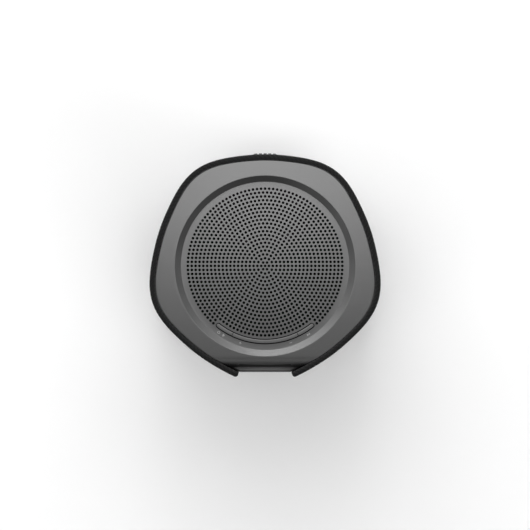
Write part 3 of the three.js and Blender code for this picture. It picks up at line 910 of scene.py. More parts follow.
@dataclass
class FabricWrap:
    """The woven skin: a C-shaped band round the body, rolled over at its rims and ends."""

    outline: Outline
    thickness: float = 2.9 * MM
    rim: float = 1.3 * MM
    end_turn: float = math.radians(14.3)
    end_round: float = 1.4 * MM
    end_lean: float = 0.25
    end_reach: float = 8 * MM
    columns: int = 1150
    yarn: float = 1.16 * MM
    ripple: float = 0.12 * MM
    ripple_reach: float = 9 * MM

    def _section(self, low: float, high: float) -> tuple[np.ndarray, np.ndarray, np.ndarray]:
        """The band's closed section, up the outside, over the rim and down the inside.

        Each corner is a quarter circle of the rim's radius.

        Args:
            low: Height of the lower rim.
            high: Height of the upper rim.

        Returns:
            The insets, the heights, and the outward direction of each point.
        """
        round_, thick = self.rim, self.thickness
        fine = quarter(8)
        coarse = quarter(4)
        near_rim = high - round_ - self.ripple_reach * np.linspace(1, 0, 22)[:-1]
        wall = np.concatenate([np.linspace(low + round_, near_rim[0], 14)[:-1], near_rim])
        inset = np.concatenate([
            0 * wall,
            round_ * (1 - np.cos(fine)),
            thick - round_ * (1 - np.sin(fine)),
            [thick, thick, thick],
            thick - round_ * (1 - np.cos(coarse)),
            round_ * (1 - np.sin(coarse)),
        ])
        down = np.linspace(high - round_, low + round_, 5)[1:-1]
        height = np.concatenate([
            wall,
            high - round_ * (1 - np.sin(fine)),
            high - round_ * (1 - np.cos(fine)),
            down,
            low + round_ * (1 - np.sin(coarse)),
            low + round_ * (1 - np.cos(coarse)),
        ])
        inset, height = np.append(inset, inset[0]), np.append(height, height[0])
        along = stacked(inset, height)
        before, after = np.roll(along[:-1], 1, axis=0), np.roll(along[:-1], -1, axis=0)
        tangent = after - before
        normal = stacked(-tangent[:, 1], tangent[:, 0])
        normal /= np.maximum(np.linalg.norm(normal, axis=1, keepdims=True), 1e-12)
        return inset, height, np.concatenate([normal, normal[:1]])

    def _turns(self) -> tuple[np.ndarray, np.ndarray]:
        """Angles along the band, and how far its section shrinks at each, for round ends."""
        angle = quarter(7)
        # An endless shrink closes the section on its middle line.
        shrink = np.concatenate([[np.inf], self.end_round * (1 - np.sin(angle))])
        back = self.end_round * (1 - np.cos(angle)) / self.outline.mean
        start = self.end_turn + np.concatenate([[0.0], back])
        middle = np.linspace(start[-1], 2 * np.pi - start[-1], self.columns + 1)[1:-1]
        turns = np.concatenate([start, middle, 2 * np.pi - start[::-1]])
        return turns, np.concatenate([shrink, 0 * middle, shrink[::-1]])

    def _leaned(self, turns: np.ndarray, inset: np.ndarray) -> np.ndarray:
        """Angles turned towards each end by inset times lean, so that the ends are cut square.

        Args:
            turns: Angles along the band.
            inset: Insets of the section's points, as a grid over those angles.

        Returns:
            The grid of angles.
        """
        reach = self.end_reach / self.outline.mean
        first = np.clip(1 - (turns - turns[0]) / reach, 0, 1)
        last = np.clip(1 - (turns[-1] - turns) / reach, 0, 1)
        return turns + (last - first) * inset * self.end_lean / self.outline.mean

    def build(self) -> None:
        """Carries the section along the plan; yarns stand out of it as slanting ridges."""
        low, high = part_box("fabric_wrap")
        inset, height, normal = self._section(low.z, high.z)
        turns, shrink = self._turns()
        x, y = self.outline.at(turns, self.thickness / 2)
        along = np.concatenate([[0], np.cumsum(np.hypot(np.diff(x), np.diff(y)))])
        across = np.concatenate([[0], np.cumsum(np.hypot(np.diff(inset), np.diff(height)))])
        fade = np.clip(1 - (high.z - height) / self.ripple_reach, 0, 1)
        step = 2 * np.pi / self.yarn
        ridge = 0.5 + 0.5 * np.sin((along + across[:, None]) * step)
        ridge = ridge * (0.675 + 0.325 * np.sin((along - across[:, None]) * step / 2))
        swell = (ridge - 0.6) * self.ripple * fade[:, None] * (shrink < 1e-6)
        held = np.minimum(shrink, self.thickness / 2)
        wide = np.clip(inset[:, None], held, self.thickness - held) + swell * normal[:, :1]
        tall = np.clip(height[:, None], low.z + held, high.z - held) + swell * normal[:, 1:]
        x, y = self.outline.at(self._leaned(turns, wide), wide)
        surface = Surface("wrap_cloth")
        surface.add_grid(stacked(x, y, tall), stacked(along, across[:, None]))
        fitted(surface.finished(crease=60), Finish.CLOTH, "housing", "fabric", "fabric_wrap")


@dataclass
class Badge:
    """The plain raised plate on the front, with five bars of different heights."""

    outline: Outline
    plate_proud: float = 0.55 * MM
    bar_proud: float = 0.4 * MM
    bar_heights: tuple[float, ...] = (2.6 * MM, 4.6 * MM, 3.4 * MM, 5.8 * MM, 3.8 * MM)
    bar_width: float = 1.6 * MM
    bar_pitch: float = 2.4 * MM
    sunk: float = 0.3 * MM
    plate_corner: float = 1.0 * MM
    plate_round: float = 0.2 * MM
    bar_corner: float = 0.5 * MM
    bar_round: float = 0.15 * MM

    def _on_front(self, pad: np.ndarray, across: float, up: float) -> np.ndarray:
        """Lays a pad on the front: its depth is measured out from the cloth's curved face."""
        x = pad[..., 0] + across
        turn = np.pi + x / self.outline.radius(np.pi)
        reach = self.outline.radius(turn) + pad[..., 1]
        return polar(-turn, reach, pad[..., 2] + up)

    def build(self) -> None:
        """A thin pad with round corners, and the bars on it."""
        low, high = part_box("badge")
        surface = Surface("front_badge")
        outline = rounded_outline(high.x - low.x, high.z - low.z, self.plate_corner)
        plate = pillow(outline, -self.sunk, self.plate_proud, self.plate_round)
        middle = (low.z + high.z) / 2
        surface.add_grid(self._on_front(plate, 0, middle))
        for place, height in enumerate(self.bar_heights):
            across = (place - (len(self.bar_heights) - 1) / 2) * self.bar_pitch
            rim = rounded_outline(self.bar_width, height, self.bar_corner)
            bar = pillow(rim, 0, self.plate_proud + self.bar_proud, self.bar_round)
            surface.add_grid(self._on_front(bar, across, middle))
        fitted(surface.finished(), Finish.BADGE, "housing", "steel", "badge")


# The top plate


@dataclass(frozen=True)
class KeyArc:
    """Where the keys lie on the dish's floor: an arc about the axis, centred on the back."""

    inner: float = 38.3 * MM
    outer: float = 40.1 * MM
    end: float = math.radians(38.1)
    split: float = math.radians(25.5)
    gap: float = 0.5 * MM

    @property
    def middle(self) -> float:
        """Radius of the arc's middle line."""
        return (self.inner + self.outer) / 2

    @property
    def half(self) -> float:
        """Half the arc's width."""
        return (self.outer - self.inner) / 2

    def outline(self, margin: float, steps: int = 90) -> np.ndarray:
        """A closed loop round the whole arc, with half-round ends.

        Args:
            margin: Distance outside the keys' own edge.
            steps: Points along each long side.

        Returns:
            Array of points, the last unlike the first.
        """
        middle, half = self.middle, self.half + margin
        sweep = np.linspace(-self.end, self.end, steps)
        spin = np.linspace(0, np.pi, 12)[1:-1]

        def cap(end: float, way: float) -> np.ndarray:
            """Points round one end, from the outer side to the inner."""
            return polar(end, middle) + polar(end + way * spin, half)

        outer = polar(sweep, middle + half)
        inner = polar(sweep, middle - half)
        return np.concatenate([outer, cap(self.end, 1), inner[::-1], cap(-self.end, -1)[::-1]])

    def holds(self, x: np.ndarray, y: np.ndarray, margin: float) -> np.ndarray:
        """True for points inside that loop."""
        middle, half = self.middle, self.half + margin
        turn, reach = np.arctan2(x, y), np.hypot(x, y)
        inside = (np.abs(turn) < self.end) & (np.abs(reach - middle) < half)
        for end in (self.end, -self.end):
            away = np.hypot(x - middle * np.sin(end), y - middle * np.cos(end))
            inside |= away < half * math.cos(math.pi / 24)
        return inside


@dataclass
class TopPlate:
    """The formed metal cap: perforated floor, sloping dish wall, flat rim and rolled back edge."""

    outline: Outline
    keys: KeyArc
    inset: float = 3.0 * MM
    sheet: float = 1.6 * MM
    edge: float = 0.4 * MM
    rim_radius: float = 46.7 * MM
    floor_radius: float = 43.6 * MM
    dish: float = 2.6 * MM
    fillet: float = 0.35 * MM
    back: float = 52.6 * MM
    roll: float = 5.7 * MM
    roll_drop: float = 4.5 * MM
    painted_shade_end: float = 1.6 * MM
    pitch: float = 2.0 * MM
    hole: float = 0.73 * MM
    rings: int = 20
    clear_rings: int = 18
    clear_turn: float = math.radians(41)
    hole_sides: int = 12

    def _turns(self) -> np.ndarray:
        """Angles round the rim, with the ends of the straight back edge among them."""
        corner = self.outline.turn_at_back(self.inset, self.back)
        front = np.linspace(corner, 2 * np.pi - corner, 301)
        across = np.linspace(-corner, corner, 41)[1:]
        return np.concatenate([front, 2 * np.pi + across])

    def _drop(self, y: np.ndarray, inside: float = 0.0) -> np.ndarray:
        """How far the roll lowers the top: a quarter ellipse, h (1 - sqrt(1 - ((y - y0) / q)^2))."""
        roll, back = self.roll - inside, self.back - inside
        past = np.clip((y - (back - roll)) / roll, 0, 1)
        return (self.roll_drop - inside) * (1 - np.sqrt(1 - past * past))

    def _row(self, turns: np.ndarray, reach: np.ndarray, height: float, inside: float) -> np.ndarray:
        """One ring of the plate, kept in front of the back edge and lowered along its roll."""
        limit = (self.back - inside) / np.maximum(np.cos(turns), 1e-3)
        reach = np.where(np.cos(turns) > 0, np.minimum(reach, limit), reach)
        x, y = reach * np.sin(turns), reach * np.cos(turns)
        return stacked(x, y, height - self._drop(y, inside))

    def _dish_profile(self, top: float) -> tuple[np.ndarray, np.ndarray]:
        """Radius and height from the floor's edge up the sloping wall, with small fillets."""
        floor = top - self.dish
        run, rise = self.rim_radius - self.floor_radius, self.dish
        slope = math.atan2(rise, run)
        bend = np.linspace(0, slope, 4)
        lead = self.fillet * math.tan(slope / 2)
        foot_r = self.floor_radius - lead + self.fillet * np.sin(bend)
        foot_z = floor + self.fillet * (1 - np.cos(bend))
        head_r = self.rim_radius + lead - self.fillet * np.sin(bend[::-1])
        head_z = top - self.fillet * (1 - np.cos(bend[::-1]))
        return np.concatenate([foot_r, head_r]), np.concatenate([foot_z, head_z])

    def _rows(self, turns: np.ndarray, top: float, bottom: float) -> np.ndarray:
        """Rings from the floor's edge out over the top, down the skirt and back underneath."""
        radii, heights = self._dish_profile(top)
        full = self.outline.radius(turns) - self.inset
        limit = self.back / np.maximum(np.cos(turns), 1e-3)
        straight = np.where(np.cos(turns) > 0, limit, np.inf)
        outer = np.minimum(full, straight)
        soft = np.where(straight < full, 0.0, self.edge)
        rows = [self._row(turns, 0 * turns + r, z, 0) for r, z in zip(radii, heights)]
        for share in np.linspace(0, 1, 17)[1:]:
            reach = radii[-1] + (outer - soft - radii[-1]) * share
            rows.append(self._row(turns, reach, top, 0))
        for angle in quarter(6)[1:]:
            ring = self._row(turns, outer - soft * (1 - np.sin(angle)), top, 0)
            ring[:, 2] -= soft * (1 - np.cos(angle))
            rows.append(ring)
        skirt = rows[-1].copy()
        skirt[:, 2] = bottom
        rows.append(skirt)
        under = top - self.sheet
        wall = np.minimum(full - self.sheet, straight - self.sheet / np.cos(turns))
        low = self._row(turns, wall, under, self.sheet)
        foot = low.copy()
        foot[:, 2] = bottom
        rows += [foot, low]
        for share in np.linspace(1, 0, 12)[1:]:
            reach = radii[-1] + (wall - radii[-1]) * share
            rows.append(self._row(turns, reach, under, self.sheet))
        for r, z in zip(radii[::-1], heights[::-1]):
            rows.append(self._row(turns, 0 * turns + r, z - self.sheet, self.sheet))
        return np.stack(rows)

    def _hole_centres(self) -> np.ndarray:
        """Ring k holds 6k holes at radius k times the pitch; the last rings stop at the keys."""
        number = np.arange(1, self.rings + 1)
        ring = np.repeat(number, 6 * number)
        place = np.arange(len(ring)) - 3 * ring * (ring - 1)
        turn = np.pi / 2 + 2 * np.pi * place / (6 * ring)
        from_back = np.abs((turn + np.pi) % (2 * np.pi) - np.pi)
        kept = (ring <= self.clear_rings) | (from_back > self.clear_turn)
        reach = ring[kept] * self.pitch
        return np.concatenate([[[0.0, 0.0]], polar(turn[kept], reach)])

    def _floor(self, surface: Surface, edge: np.ndarray, floor: float) -> None:
        """The perforated floor: a flat sheet cut by every hole and by the keys' slot.

        The sheet's two faces are triangulated between those outlines, and each outline has a wall; the
        walls of the holes and the slot are painted dark as painted shade.

        Args:
            surface: The surface that it is added to.
            edge: The floor's outer loop.
            floor: Height of its upper face.
        """
        spin = np.linspace(0, 2 * np.pi, self.hole_sides, endpoint=False)
        ring = polar(spin, self.hole)
        centres = self._hole_centres()
        holes = (centres[:, None] + ring).reshape(-1, 2)
        slot = self.keys.outline(self.keys.gap)
        points = np.concatenate([holes, slot, edge])
        number = np.arange(len(holes)).reshape(-1, self.hole_sides)
        loops = [*number, len(holes) + np.arange(len(slot))]
        loops.append(len(holes) + len(slot) + np.arange(len(edge)))
        links = [pair for loop in loops for pair in zip(loop.tolist(), np.roll(loop, -1).tolist())]
        # The sheet is triangulated in millimetres, where the tolerance is well scaled.
        flat = [Vector(point) for point in (points / MM).tolist()]
        found, _, faces, sources, _, _ = delaunay_2d_cdt(flat, links, [], 0, 1e-6)
        spots = np.array([tuple(point) for point in found]) * MM
        faces = np.array(faces)
        middle = spots[faces].mean(axis=1)
        owner = np.array([min(source) if source else len(points) for source in sources])
        hole_of = np.where(owner < len(holes), owner // self.hole_sides, -1)[faces]
        in_hole = (hole_of[:, 0] >= 0) & (hole_of == hole_of[:, :1]).all(axis=1)
        in_slot = self.keys.holds(middle[:, 0], middle[:, 1], self.keys.gap)
        outside = np.hypot(*middle.T) > np.hypot(*edge.T).max()
        faces = faces[~(in_hole | in_slot | outside)]
        for height, turned_over in ((floor, False), (floor - self.sheet, True)):
            sheet = stacked(spots[:, 0], spots[:, 1], height)
            surface.add_faces(sheet, (faces[:, ::-1] if turned_over else faces).tolist())
        for loop in loops[:-1]:
            ring = points[np.append(loop, loop[0])]
            levels = np.array([[floor], [floor - self.sheet]])
            # The walls take the second finish, painted shade.
            surface.add_grid(stacked(ring[:, 0], ring[:, 1], levels), finish=1)

    def build(self) -> None:
        """One closed piece: floor, dish wall, rim, roll and skirt."""
        low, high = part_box("top_plate")
        turns = self._turns()
        rows = self._rows(turns, high.z, low.z)
        surface = Surface("top_plate_metal")
        surface.add_grid(rows)
        self._floor(surface, rows[0, :-1, :2], high.z - self.dish)
        made = surface.finished(crease=35)
        fitted(made, Finish.PLATE, "housing", "anodised", "top_plate")
        # The end of the roll, where it dips into the gap before the back panel, is painted dark as
        # painted shade.
        end = self.back - self.painted_shade_end
        second_finish(made, Finish.CUT, lambda centres, _: centres[:, 1] > end)


@dataclass
class DustScreen:
    """Cloth stretched under the perforation, notched for the keys."""

    keys: KeyArc
    radius: float = 42.5 * MM
    notch_radius: float = 37.2 * MM
    notch_turn: float = math.radians(41.2)

    def build(self) -> None:
        """A thin disc whose edge steps in behind the keys."""
        low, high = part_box("dust_screen")
        turn = np.linspace(-np.pi, np.pi, 361)
        edge = np.where(np.abs(turn) < self.notch_turn, self.notch_radius, self.radius)
        reach = edge * np.array([0, 1, 1, 0])[:, None]
        lift = (high.z - low.z) / 2
        height = np.repeat([low.z + lift, high.z], 2)[:, None]
        surface = Surface("dust_screen_cloth")
        surface.add_grid(polar(turn, reach, height))
        fitted(surface.finished(), Finish.SCREEN, "housing", "rubber", "dust_screen")


# Keys and their signs


class KeyPlace(Enum):
    """The three keys: node, share of the arc, and which end is round."""

    POWER = ("power_button", 1)
    VOLUME = ("volume_rocker", 0)
    PLAY = ("play_button", -1)


@dataclass
class Keys:
    """The metal keys in the arc slot, slightly crowned, each with a flange that holds it in.

    Faces whose normal rises less than `steep`, and those up to a little above the flange, are painted
    dark as painted shade in the slot's gap.
    """

    arc: KeyArc
    play: float = math.radians(0.3)
    edge: float = 0.12 * MM
    crown: float = 0.02 * MM
    flange: float = 0.75 * MM
    flange_height: float = 1.15 * MM
    above_flange: float = 0.1 * MM
    steep: float = 0.4

    def _section(self, low: float, high: float) -> tuple[np.ndarray, np.ndarray]:
        """The closed section: flange below, cap above with rounded edges and a crowned top.

        Returns:
            Offsets from the arc's middle line and heights, where the first and last point meet.
        """
        half = self.arc.half
        angle = quarter(5)
        bend = half - self.edge * (1 - np.cos(angle))
        rise = high - self.crown - self.edge * (1 - np.sin(angle))
        over = np.linspace(half - self.edge, self.edge - half, 9)[1:-1]
        arch = high - self.crown * (over / half) ** 2
        shoulder = low + self.flange_height
        across = np.concatenate([
            [-half - self.flange, half + self.flange, half + self.flange, half],
            bend, over, -bend[::-1], [-half, -half - self.flange, -half - self.flange],
        ])
        height = np.concatenate([
            [low, low, shoulder, shoulder], rise, arch, rise[::-1], [shoulder, shoulder, low],
        ])
        return across, height

    def _sweep(self, side: int) -> tuple[np.ndarray, np.ndarray]:
        """Angles along a key, and its share of full width at each; 0 closes an end."""
        arc, split = self.arc, self.arc.split
        if side == 0:
            turn = np.linspace(-split + self.play, split - self.play, 60)
            share = np.ones_like(turn)
            return np.concatenate([turn[:1], turn, turn[-1:]]), np.pad(share, 1)
        body = np.linspace(split + self.play, arc.end, 24)
        spin = quarter(9)[1:]
        turn = np.concatenate([body[:1], body, arc.end + arc.half * np.sin(spin) / arc.middle])
        share = np.concatenate([[0.0], np.ones_like(body), np.cos(spin)])
        share[-1] = 0.0
        return side * turn, share

    def build(self) -> None:
        """Each key is its section carried along the arc, narrowed at a round end."""
        for place in KeyPlace:
            node, side = place.value
            low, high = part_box(node)
            across, height = self._section(low.z, high.z)
            turn, share = self._sweep(side)
            surface = Surface(f"{node}_cap")
            reach = self.arc.middle + across[:, None] * share
            surface.add_grid(polar(turn, reach, height[:, None]))
            made = surface.finished(crease=50)
            fitted(made, Finish.KEY, node, "anodised", node)
            flange = low.z + self.flange_height + self.above_flange
            # The keys' sides and flange are painted dark, as painted shade in the slot's gap.
            second_finish(
                made,
                Finish.CUT,
                lambda centres, normals: (normals[:, 2] < self.steep) | (centres[:, 2] < flange),
            )


class Sign(Enum):
    """The signs printed beside the keys."""

    POWER = "power"
    WAVES = "waves"
    PLUS = "plus"
    MINUS = "minus"
    PLAY = "play"


@dataclass
class KeySigns:
    """Small signs printed on the dish's floor outside the key arc."""

    reach: float = 41.95 * MM
    size: float = 0.75 * MM
    stroke: float = 0.24 * MM
    ink: float = 0.03 * MM
    turns: tuple[tuple[Sign, float], ...] = (
        (Sign.POWER, 34.9),
        (Sign.WAVES, 30.7),
        (Sign.PLUS, 17.9),
        (Sign.MINUS, -18.4),
        (Sign.PLAY, -32.4),
    )

    def _arc(self, radius: float, start: float, stop: float, centre: tuple = (0, 0)) -> np.ndarray:
        """A line along an arc, in shares of the sign's size, with angles in degrees."""
        angle = np.radians(np.linspace(start, stop, 14))
        return stacked(centre[0] + radius * np.cos(angle), centre[1] + radius * np.sin(angle))

    def _lines(self, sign: Sign) -> list[np.ndarray]:
        """The lines of a sign, in shares of its size."""
        bar = np.array([[-1.0, 0.0], [1.0, 0.0]])
        if sign is Sign.POWER:
            return [self._arc(0.85, 120, 420), np.array([[0.0, 0.25], [0.0, 1.05]])]
        if sign is Sign.WAVES:
            return [self._arc(r, -45, 45, (-0.7, 0)) for r in (0.45, 0.95, 1.45)]
        if sign is Sign.PLUS:
            return [bar * 0.8, bar[:, ::-1] * 0.8]
        if sign is Sign.MINUS:
            return [bar * 0.8]
        triangle = np.array([[-0.9, -0.65], [0.05, 0.0], [-0.9, 0.65], [-0.9, -0.65]])
        return [triangle, *(np.array([[x, -0.65], [x, 0.65]]) for x in (0.5, 1.0))]

    def _ribbon(self, line: np.ndarray, height: float, lean: float) -> np.ndarray:
        """A line given width and the ink's thickness, then placed at its angle from the back.

        Its four corners run beside the line at half the stroke to each side, at the floor and at
        the ink's top.

        Args:
            line: Points of the line, in metres.
            height: Height of the floor.
            lean: Angle from the back.

        Returns:
            Array of five corner lines by points by 3.
        """
        along = np.gradient(line, axis=0)
        along /= np.maximum(np.linalg.norm(along, axis=1, keepdims=True), 1e-12)
        side = along[:, ::-1] * np.array([-1.0, 1.0]) * self.stroke / 2
        rails = np.stack([line + side, line + side, line - side, line - side, line + side])
        rise = height + np.array([-0.2, 1, 1, -0.2, -0.2])[:, None] * self.ink
        a, b = -rails[..., 0], self.reach - rails[..., 1]
        x = b * math.sin(lean) - a * math.cos(lean)
        y = b * math.cos(lean) + a * math.sin(lean)
        return stacked(x, y, rise)

    def build(self, floor: float) -> None:
        """All signs as one thin printed piece.

        Args:
            floor: Height of the dish's floor.
        """
        surface = Surface("key_signs")
        for sign, degrees in self.turns:
            for line in self._lines(sign):
                ribbon = self._ribbon(line * self.size, floor, math.radians(degrees))
                surface.add_grid(ribbon)
                for end in (0, -1):
                    surface.add_faces(ribbon[:4, end], [[0, 1, 2, 3]])
        fitted(surface.finished(), Finish.INK, "housing", "anodised")


@dataclass
class FeelDot:
    """The raised dot in the middle of the volume key, found by touch."""

    arc: KeyArc
    radius: float = 0.3 * MM
    height: float = 0.16 * MM
    sunk: float = 0.04 * MM
    root: float = 0.2 * MM

    def build(self) -> None:
        """A shallow dome: radius r sin a, height h cos a, sunk a little into the key."""
        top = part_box("volume_rocker")[1].z
        angle = quarter(7)
        profile = stacked(self.radius * np.sin(angle), top + self.height * np.cos(angle) - self.sunk)
        base = np.array([[self.radius, top - self.root], [0.0, top - self.root]])
        dome = turned(np.concatenate([profile, base]), 24)
        dome[..., 1] += self.arc.middle
        surface = Surface("feel_dot")
        surface.add_grid(dome)
        fitted(surface.finished(), Finish.KEY, "volume_rocker", "anodised")


# Back strip and port flap


@dataclass
class BackStrip:
    """The flat strip in the wrap's opening, with a round upper edge and the port's opening.

    Faces whose normal rises more than `level` are the ledge, painted paler than the rest as painted
    light from above.
    """

    outline: Outline
    inset: float = 3.2 * MM
    round_over: float = 1.3 * MM
    wall: float = 2.5 * MM
    lip: float = 2.5 * MM
    port_corner: float = 2.6 * MM
    port_gap: float = 0.3 * MM
    port_reach: tuple[float, float] = (40 * MM, 70 * MM)
    top_inset: float = 0.2 * MM
    crease: float = 40.0
    level: float = 0.95

    def _level(self, z: float, front: float, back: float, shrink: float) -> np.ndarray:
        """One level: across the front, along the outline's side, across the back, and home.

        Args:
            z: Height.
            front: y of the outer face.
            back: y of the inner face.
            shrink: How far the loop is drawn in, for the round upper edge.

        Returns:
            Closed loop of points.
        """
        face, rear = front - shrink, back + shrink
        ends = []
        depth = np.linspace(face, rear, 5)
        for y in depth:
            turn = self.outline.turn_at_back(self.inset + shrink, y)
            ends.append((self.outline.radius(turn) - self.inset - shrink) * math.sin(turn))
        half = np.array(ends)
        across = np.linspace(-1, 1, 13)
        x = np.concatenate([half[0] * across, half[1:], half[-1] * across[::-1][1:], -half[-2::-1]])
        y = np.concatenate([0 * across + face, depth[1:], 0 * across[1:] + rear, depth[-2::-1]])
        return stacked(x, y, z)

    def build(self) -> None:
        """Levels stacked up the strip; the port's opening is cut through it."""
        low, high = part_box("back_panel")
        front = high.y
        thin, thick = front - self.wall, low.y
        levels = [(z, thin, 0.0) for z in np.linspace(low.z, high.z - self.lip, 12)]
        levels += [(high.z - self.lip, thick, 0.0)]
        levels += [
            (high.z - self.round_over * (1 - np.sin(a)), thick, self.round_over * (1 - np.cos(a)))
            for a in quarter(6)
        ]
        levels += [(high.z, thick, self.round_over + self.top_inset)]
        rows = [self._level(z, front, back, shrink) for z, back, shrink in levels]
        surface = Surface("back_strip")
        surface.add_grid(np.stack(rows))
        for closing in (rows[0][:-1], rows[-1][:-1]):
            surface.add_faces(closing, [list(range(len(closing)))])
        made = surface.finished(self.crease)
        self._cut_port(made)
        fitted(made, Finish.STRIP, "housing", "dark_plastic", "back_panel")
        # The up-facing ledge is painted paler, as painted light from above.
        second_finish(made, Finish.LEDGE, lambda _, normals: normals[:, 2] > self.level)

    def _cut_port(self, strip: bpy.types.Object) -> None:
        """Takes the rounded opening out of the strip, a gap wider than the flap all round."""
        low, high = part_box("port_flap")
        width = high.x - low.x + 2 * self.port_gap
        height = high.z - low.z + 2 * self.port_gap
        loop = rounded_outline(width, height, self.port_corner)
        depth = np.repeat(self.port_reach, 2)[:, None]
        share = np.array([[0.0], [1.0], [1.0], [0.0]])
        middle = ((low.x + high.x) / 2, (low.z + high.z) / 2)
        cutter = Surface("port_cutter")
        cutter.add_grid(stacked(middle[0] + share * loop[:, 0], depth, middle[1] + share * loop[:, 1]))
        tool = cutter.finished()
        cut = strip.modifiers.new("port", "BOOLEAN")
        cut.operation, cut.solver, cut.object = "DIFFERENCE", "EXACT", tool
        graph = bpy.context.evaluated_depsgraph_get()
        strip.data = bpy.data.meshes.new_from_object(strip.evaluated_get(graph))
        strip.modifiers.clear()
        bpy.data.objects.remove(tool)
        strip.data.set_sharp_from_angle(angle=math.radians(self.crease))


@dataclass
class PortFlap:
    """The rubber flap over the sockets, with a ridge to pull it by."""

    depth: float = 2.1 * MM
    corner: float = 2.3 * MM
    round_over: float = 0.45 * MM
    ridge: float = 0.5 * MM
    grip: tuple[float, float] = (1.6 * MM, 5.4 * MM)
    grip_corner: float = 0.75 * MM
    grip_round: float = 0.3 * MM
    grip_root: float = 1.0 * MM
    grip_place: float = 8.6 * MM

    def build(self) -> None:
        """A rounded pad with a small upright ridge near its free side."""
        low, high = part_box("port_flap")
        face = high.y - self.ridge
        middle = ((low.x + high.x) / 2, (low.z + high.z) / 2)
        outline = rounded_outline(high.x - low.x, high.z - low.z, self.corner, 10)
        surface = Surface("port_flap_rubber")
        pad = pillow(outline, face - self.depth, face, self.round_over)
        surface.add_grid(pad + np.array([middle[0], 0, middle[1]]))
        rim = rounded_outline(*self.grip, self.grip_corner)
        grip = pillow(rim, face - self.grip_root, high.y, self.grip_round)
        surface.add_grid(grip + np.array([self.grip_place, 0, middle[1]]))
        fitted(surface.finished(crease=40), Finish.RUBBER, "port_flap", "rubber", "port_flap")


# Soft rings between a cone and the housing


@dataclass(frozen=True)
class RollRing:
    """A surround: an inner flange on the cone, a half roll, and an outer flange on the frame.

    Between the flanges z = z1 + (z2 - z1) s + h sin(pi s), where s runs from 0 to 1 outwards.

    Attributes:
        name: The piece's name.
        node: The solid that it replaces.
        body: The body of the cone that its inner flange meets, named in the log.
        radii: Inner edge, start and end of the roll, and outer edge.
        low: Height of the inner flange.
        high: Height of the outer flange.
        crest: Height of the roll, h.
        skin: Its thickness.
    """

    name: str
    node: str
    body: str
    radii: tuple[float, float, float, float]
    low: float
    high: float
    crest: float
    skin: float = 0.4 * MM

    def profile(self) -> np.ndarray:
        """The closed section, upper side outwards and lower side back."""
        flange_in, roll_in, roll_out, flange_out = self.radii
        share = np.linspace(0, 1, 15)
        reach = roll_in + (roll_out - roll_in) * share
        rise = self.low + (self.high - self.low) * share + self.crest * np.sin(np.pi * share)
        reach = np.concatenate([[flange_in], reach, [flange_out]])
        rise = np.concatenate([[self.low], rise, [self.high]])
        upper, lower = stacked(reach, rise + self.skin), stacked(reach, rise)
        return np.concatenate([upper, lower[::-1], upper[:1]])


@dataclass
class SoftRings:
    """The surrounds and the spider, between their cone and the housing."""

    side_turn: float = math.radians(108)
    seat: float = 49.2 * MM
    seat_below: float = 2.0 * MM

    def _upright(self, ring: RollRing) -> None:
        """A ring about the Z axis, bending from its cone's height to its frame's."""
        surface = Surface(ring.name)
        surface.add_grid(turned(ring.profile()))
        made = surface.finished(crease=50)
        slot = "paper" if ring.node == "woofer_spider" else "rubber"
        finish = Finish.PULP if slot == "paper" else Finish.RUBBER
        self._bending(made, ring, finish)

    def _sideways(self, ring: RollRing, side: int, height: float) -> None:
        """A ring laid over so that its axis points out at the side driver's angle."""
        out = np.array([side * math.sin(self.side_turn), math.cos(self.side_turn), 0.0])
        across = np.array([out[1], -out[0], 0.0])
        up = np.array([0.0, 0.0, 1.0])
        lathe = turned(ring.profile(), 80)
        surface = Surface(ring.name)
        surface.add_grid(lathe @ np.stack([across, up, out]) + up * height)
        made = surface.finished(crease=50)
        self._bending(made, ring, Finish.RUBBER)

    def _bending(
        self,
        made: bpy.types.Object,
        ring: RollRing,
        finish: Finish,
    ) -> None:
        """Finishes a ring, fixes its shape where it stands and hides the solid that it replaces.

        Args:
            made: The ring.
            ring: Its sizes and names.
            finish: What it is made of.
        """
        made.data.materials.append(finish.material())
        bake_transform(made)
        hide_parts(ring.node)
        LOG.info("%s between %s and housing", made.name, ring.body)

    def build(self) -> None:
        """Woofer surround and spider, radiator surround, and both side surrounds."""
        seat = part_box("woofer_basket")[1].z - self.seat_below
        frame_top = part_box("radiator_frame")[1].z
        self._upright(RollRing(
            "woofer_roll", "woofer_surround", "woofer_cone",
            radii=(22.6 * MM, 24.2 * MM, 27.6 * MM, 29.4 * MM),
            low=seat - 2.5 * MM, high=seat + 1.1 * MM, crest=2.2 * MM,
        ))
        self._upright(RollRing(
            "spider_cloth", "woofer_spider", "woofer_cone",
            radii=(7.8 * MM, 8.6 * MM, 15.0 * MM, 16.6 * MM),
            low=seat - 17.9 * MM, high=seat - 19.6 * MM, crest=0.0, skin=0.25 * MM,
        ))
        self._upright(RollRing(
            "radiator_roll", "radiator_surround", "radiator",
            radii=(18.0 * MM, 20.2 * MM, 24.9 * MM, 27.0 * MM),
            low=frame_top + 0.2 * MM, high=frame_top - 2.1 * MM, crest=2.6 * MM,
        ))
        low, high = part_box("left_driver_frame")
        for side, hand in ((1, "left"), (-1, "right")):
            ring = RollRing(
                f"{hand}_roll", f"{hand}_driver_surround", f"{hand}_cone",
                radii=(13.6 * MM, 13.7 * MM, 17.0 * MM, 18.0 * MM),
                low=self.seat, high=self.seat + 1.3 * MM, crest=1.1 * MM,
            )
            self._sideways(ring, side, (low.z + high.z) / 2)


# What keeps its solid


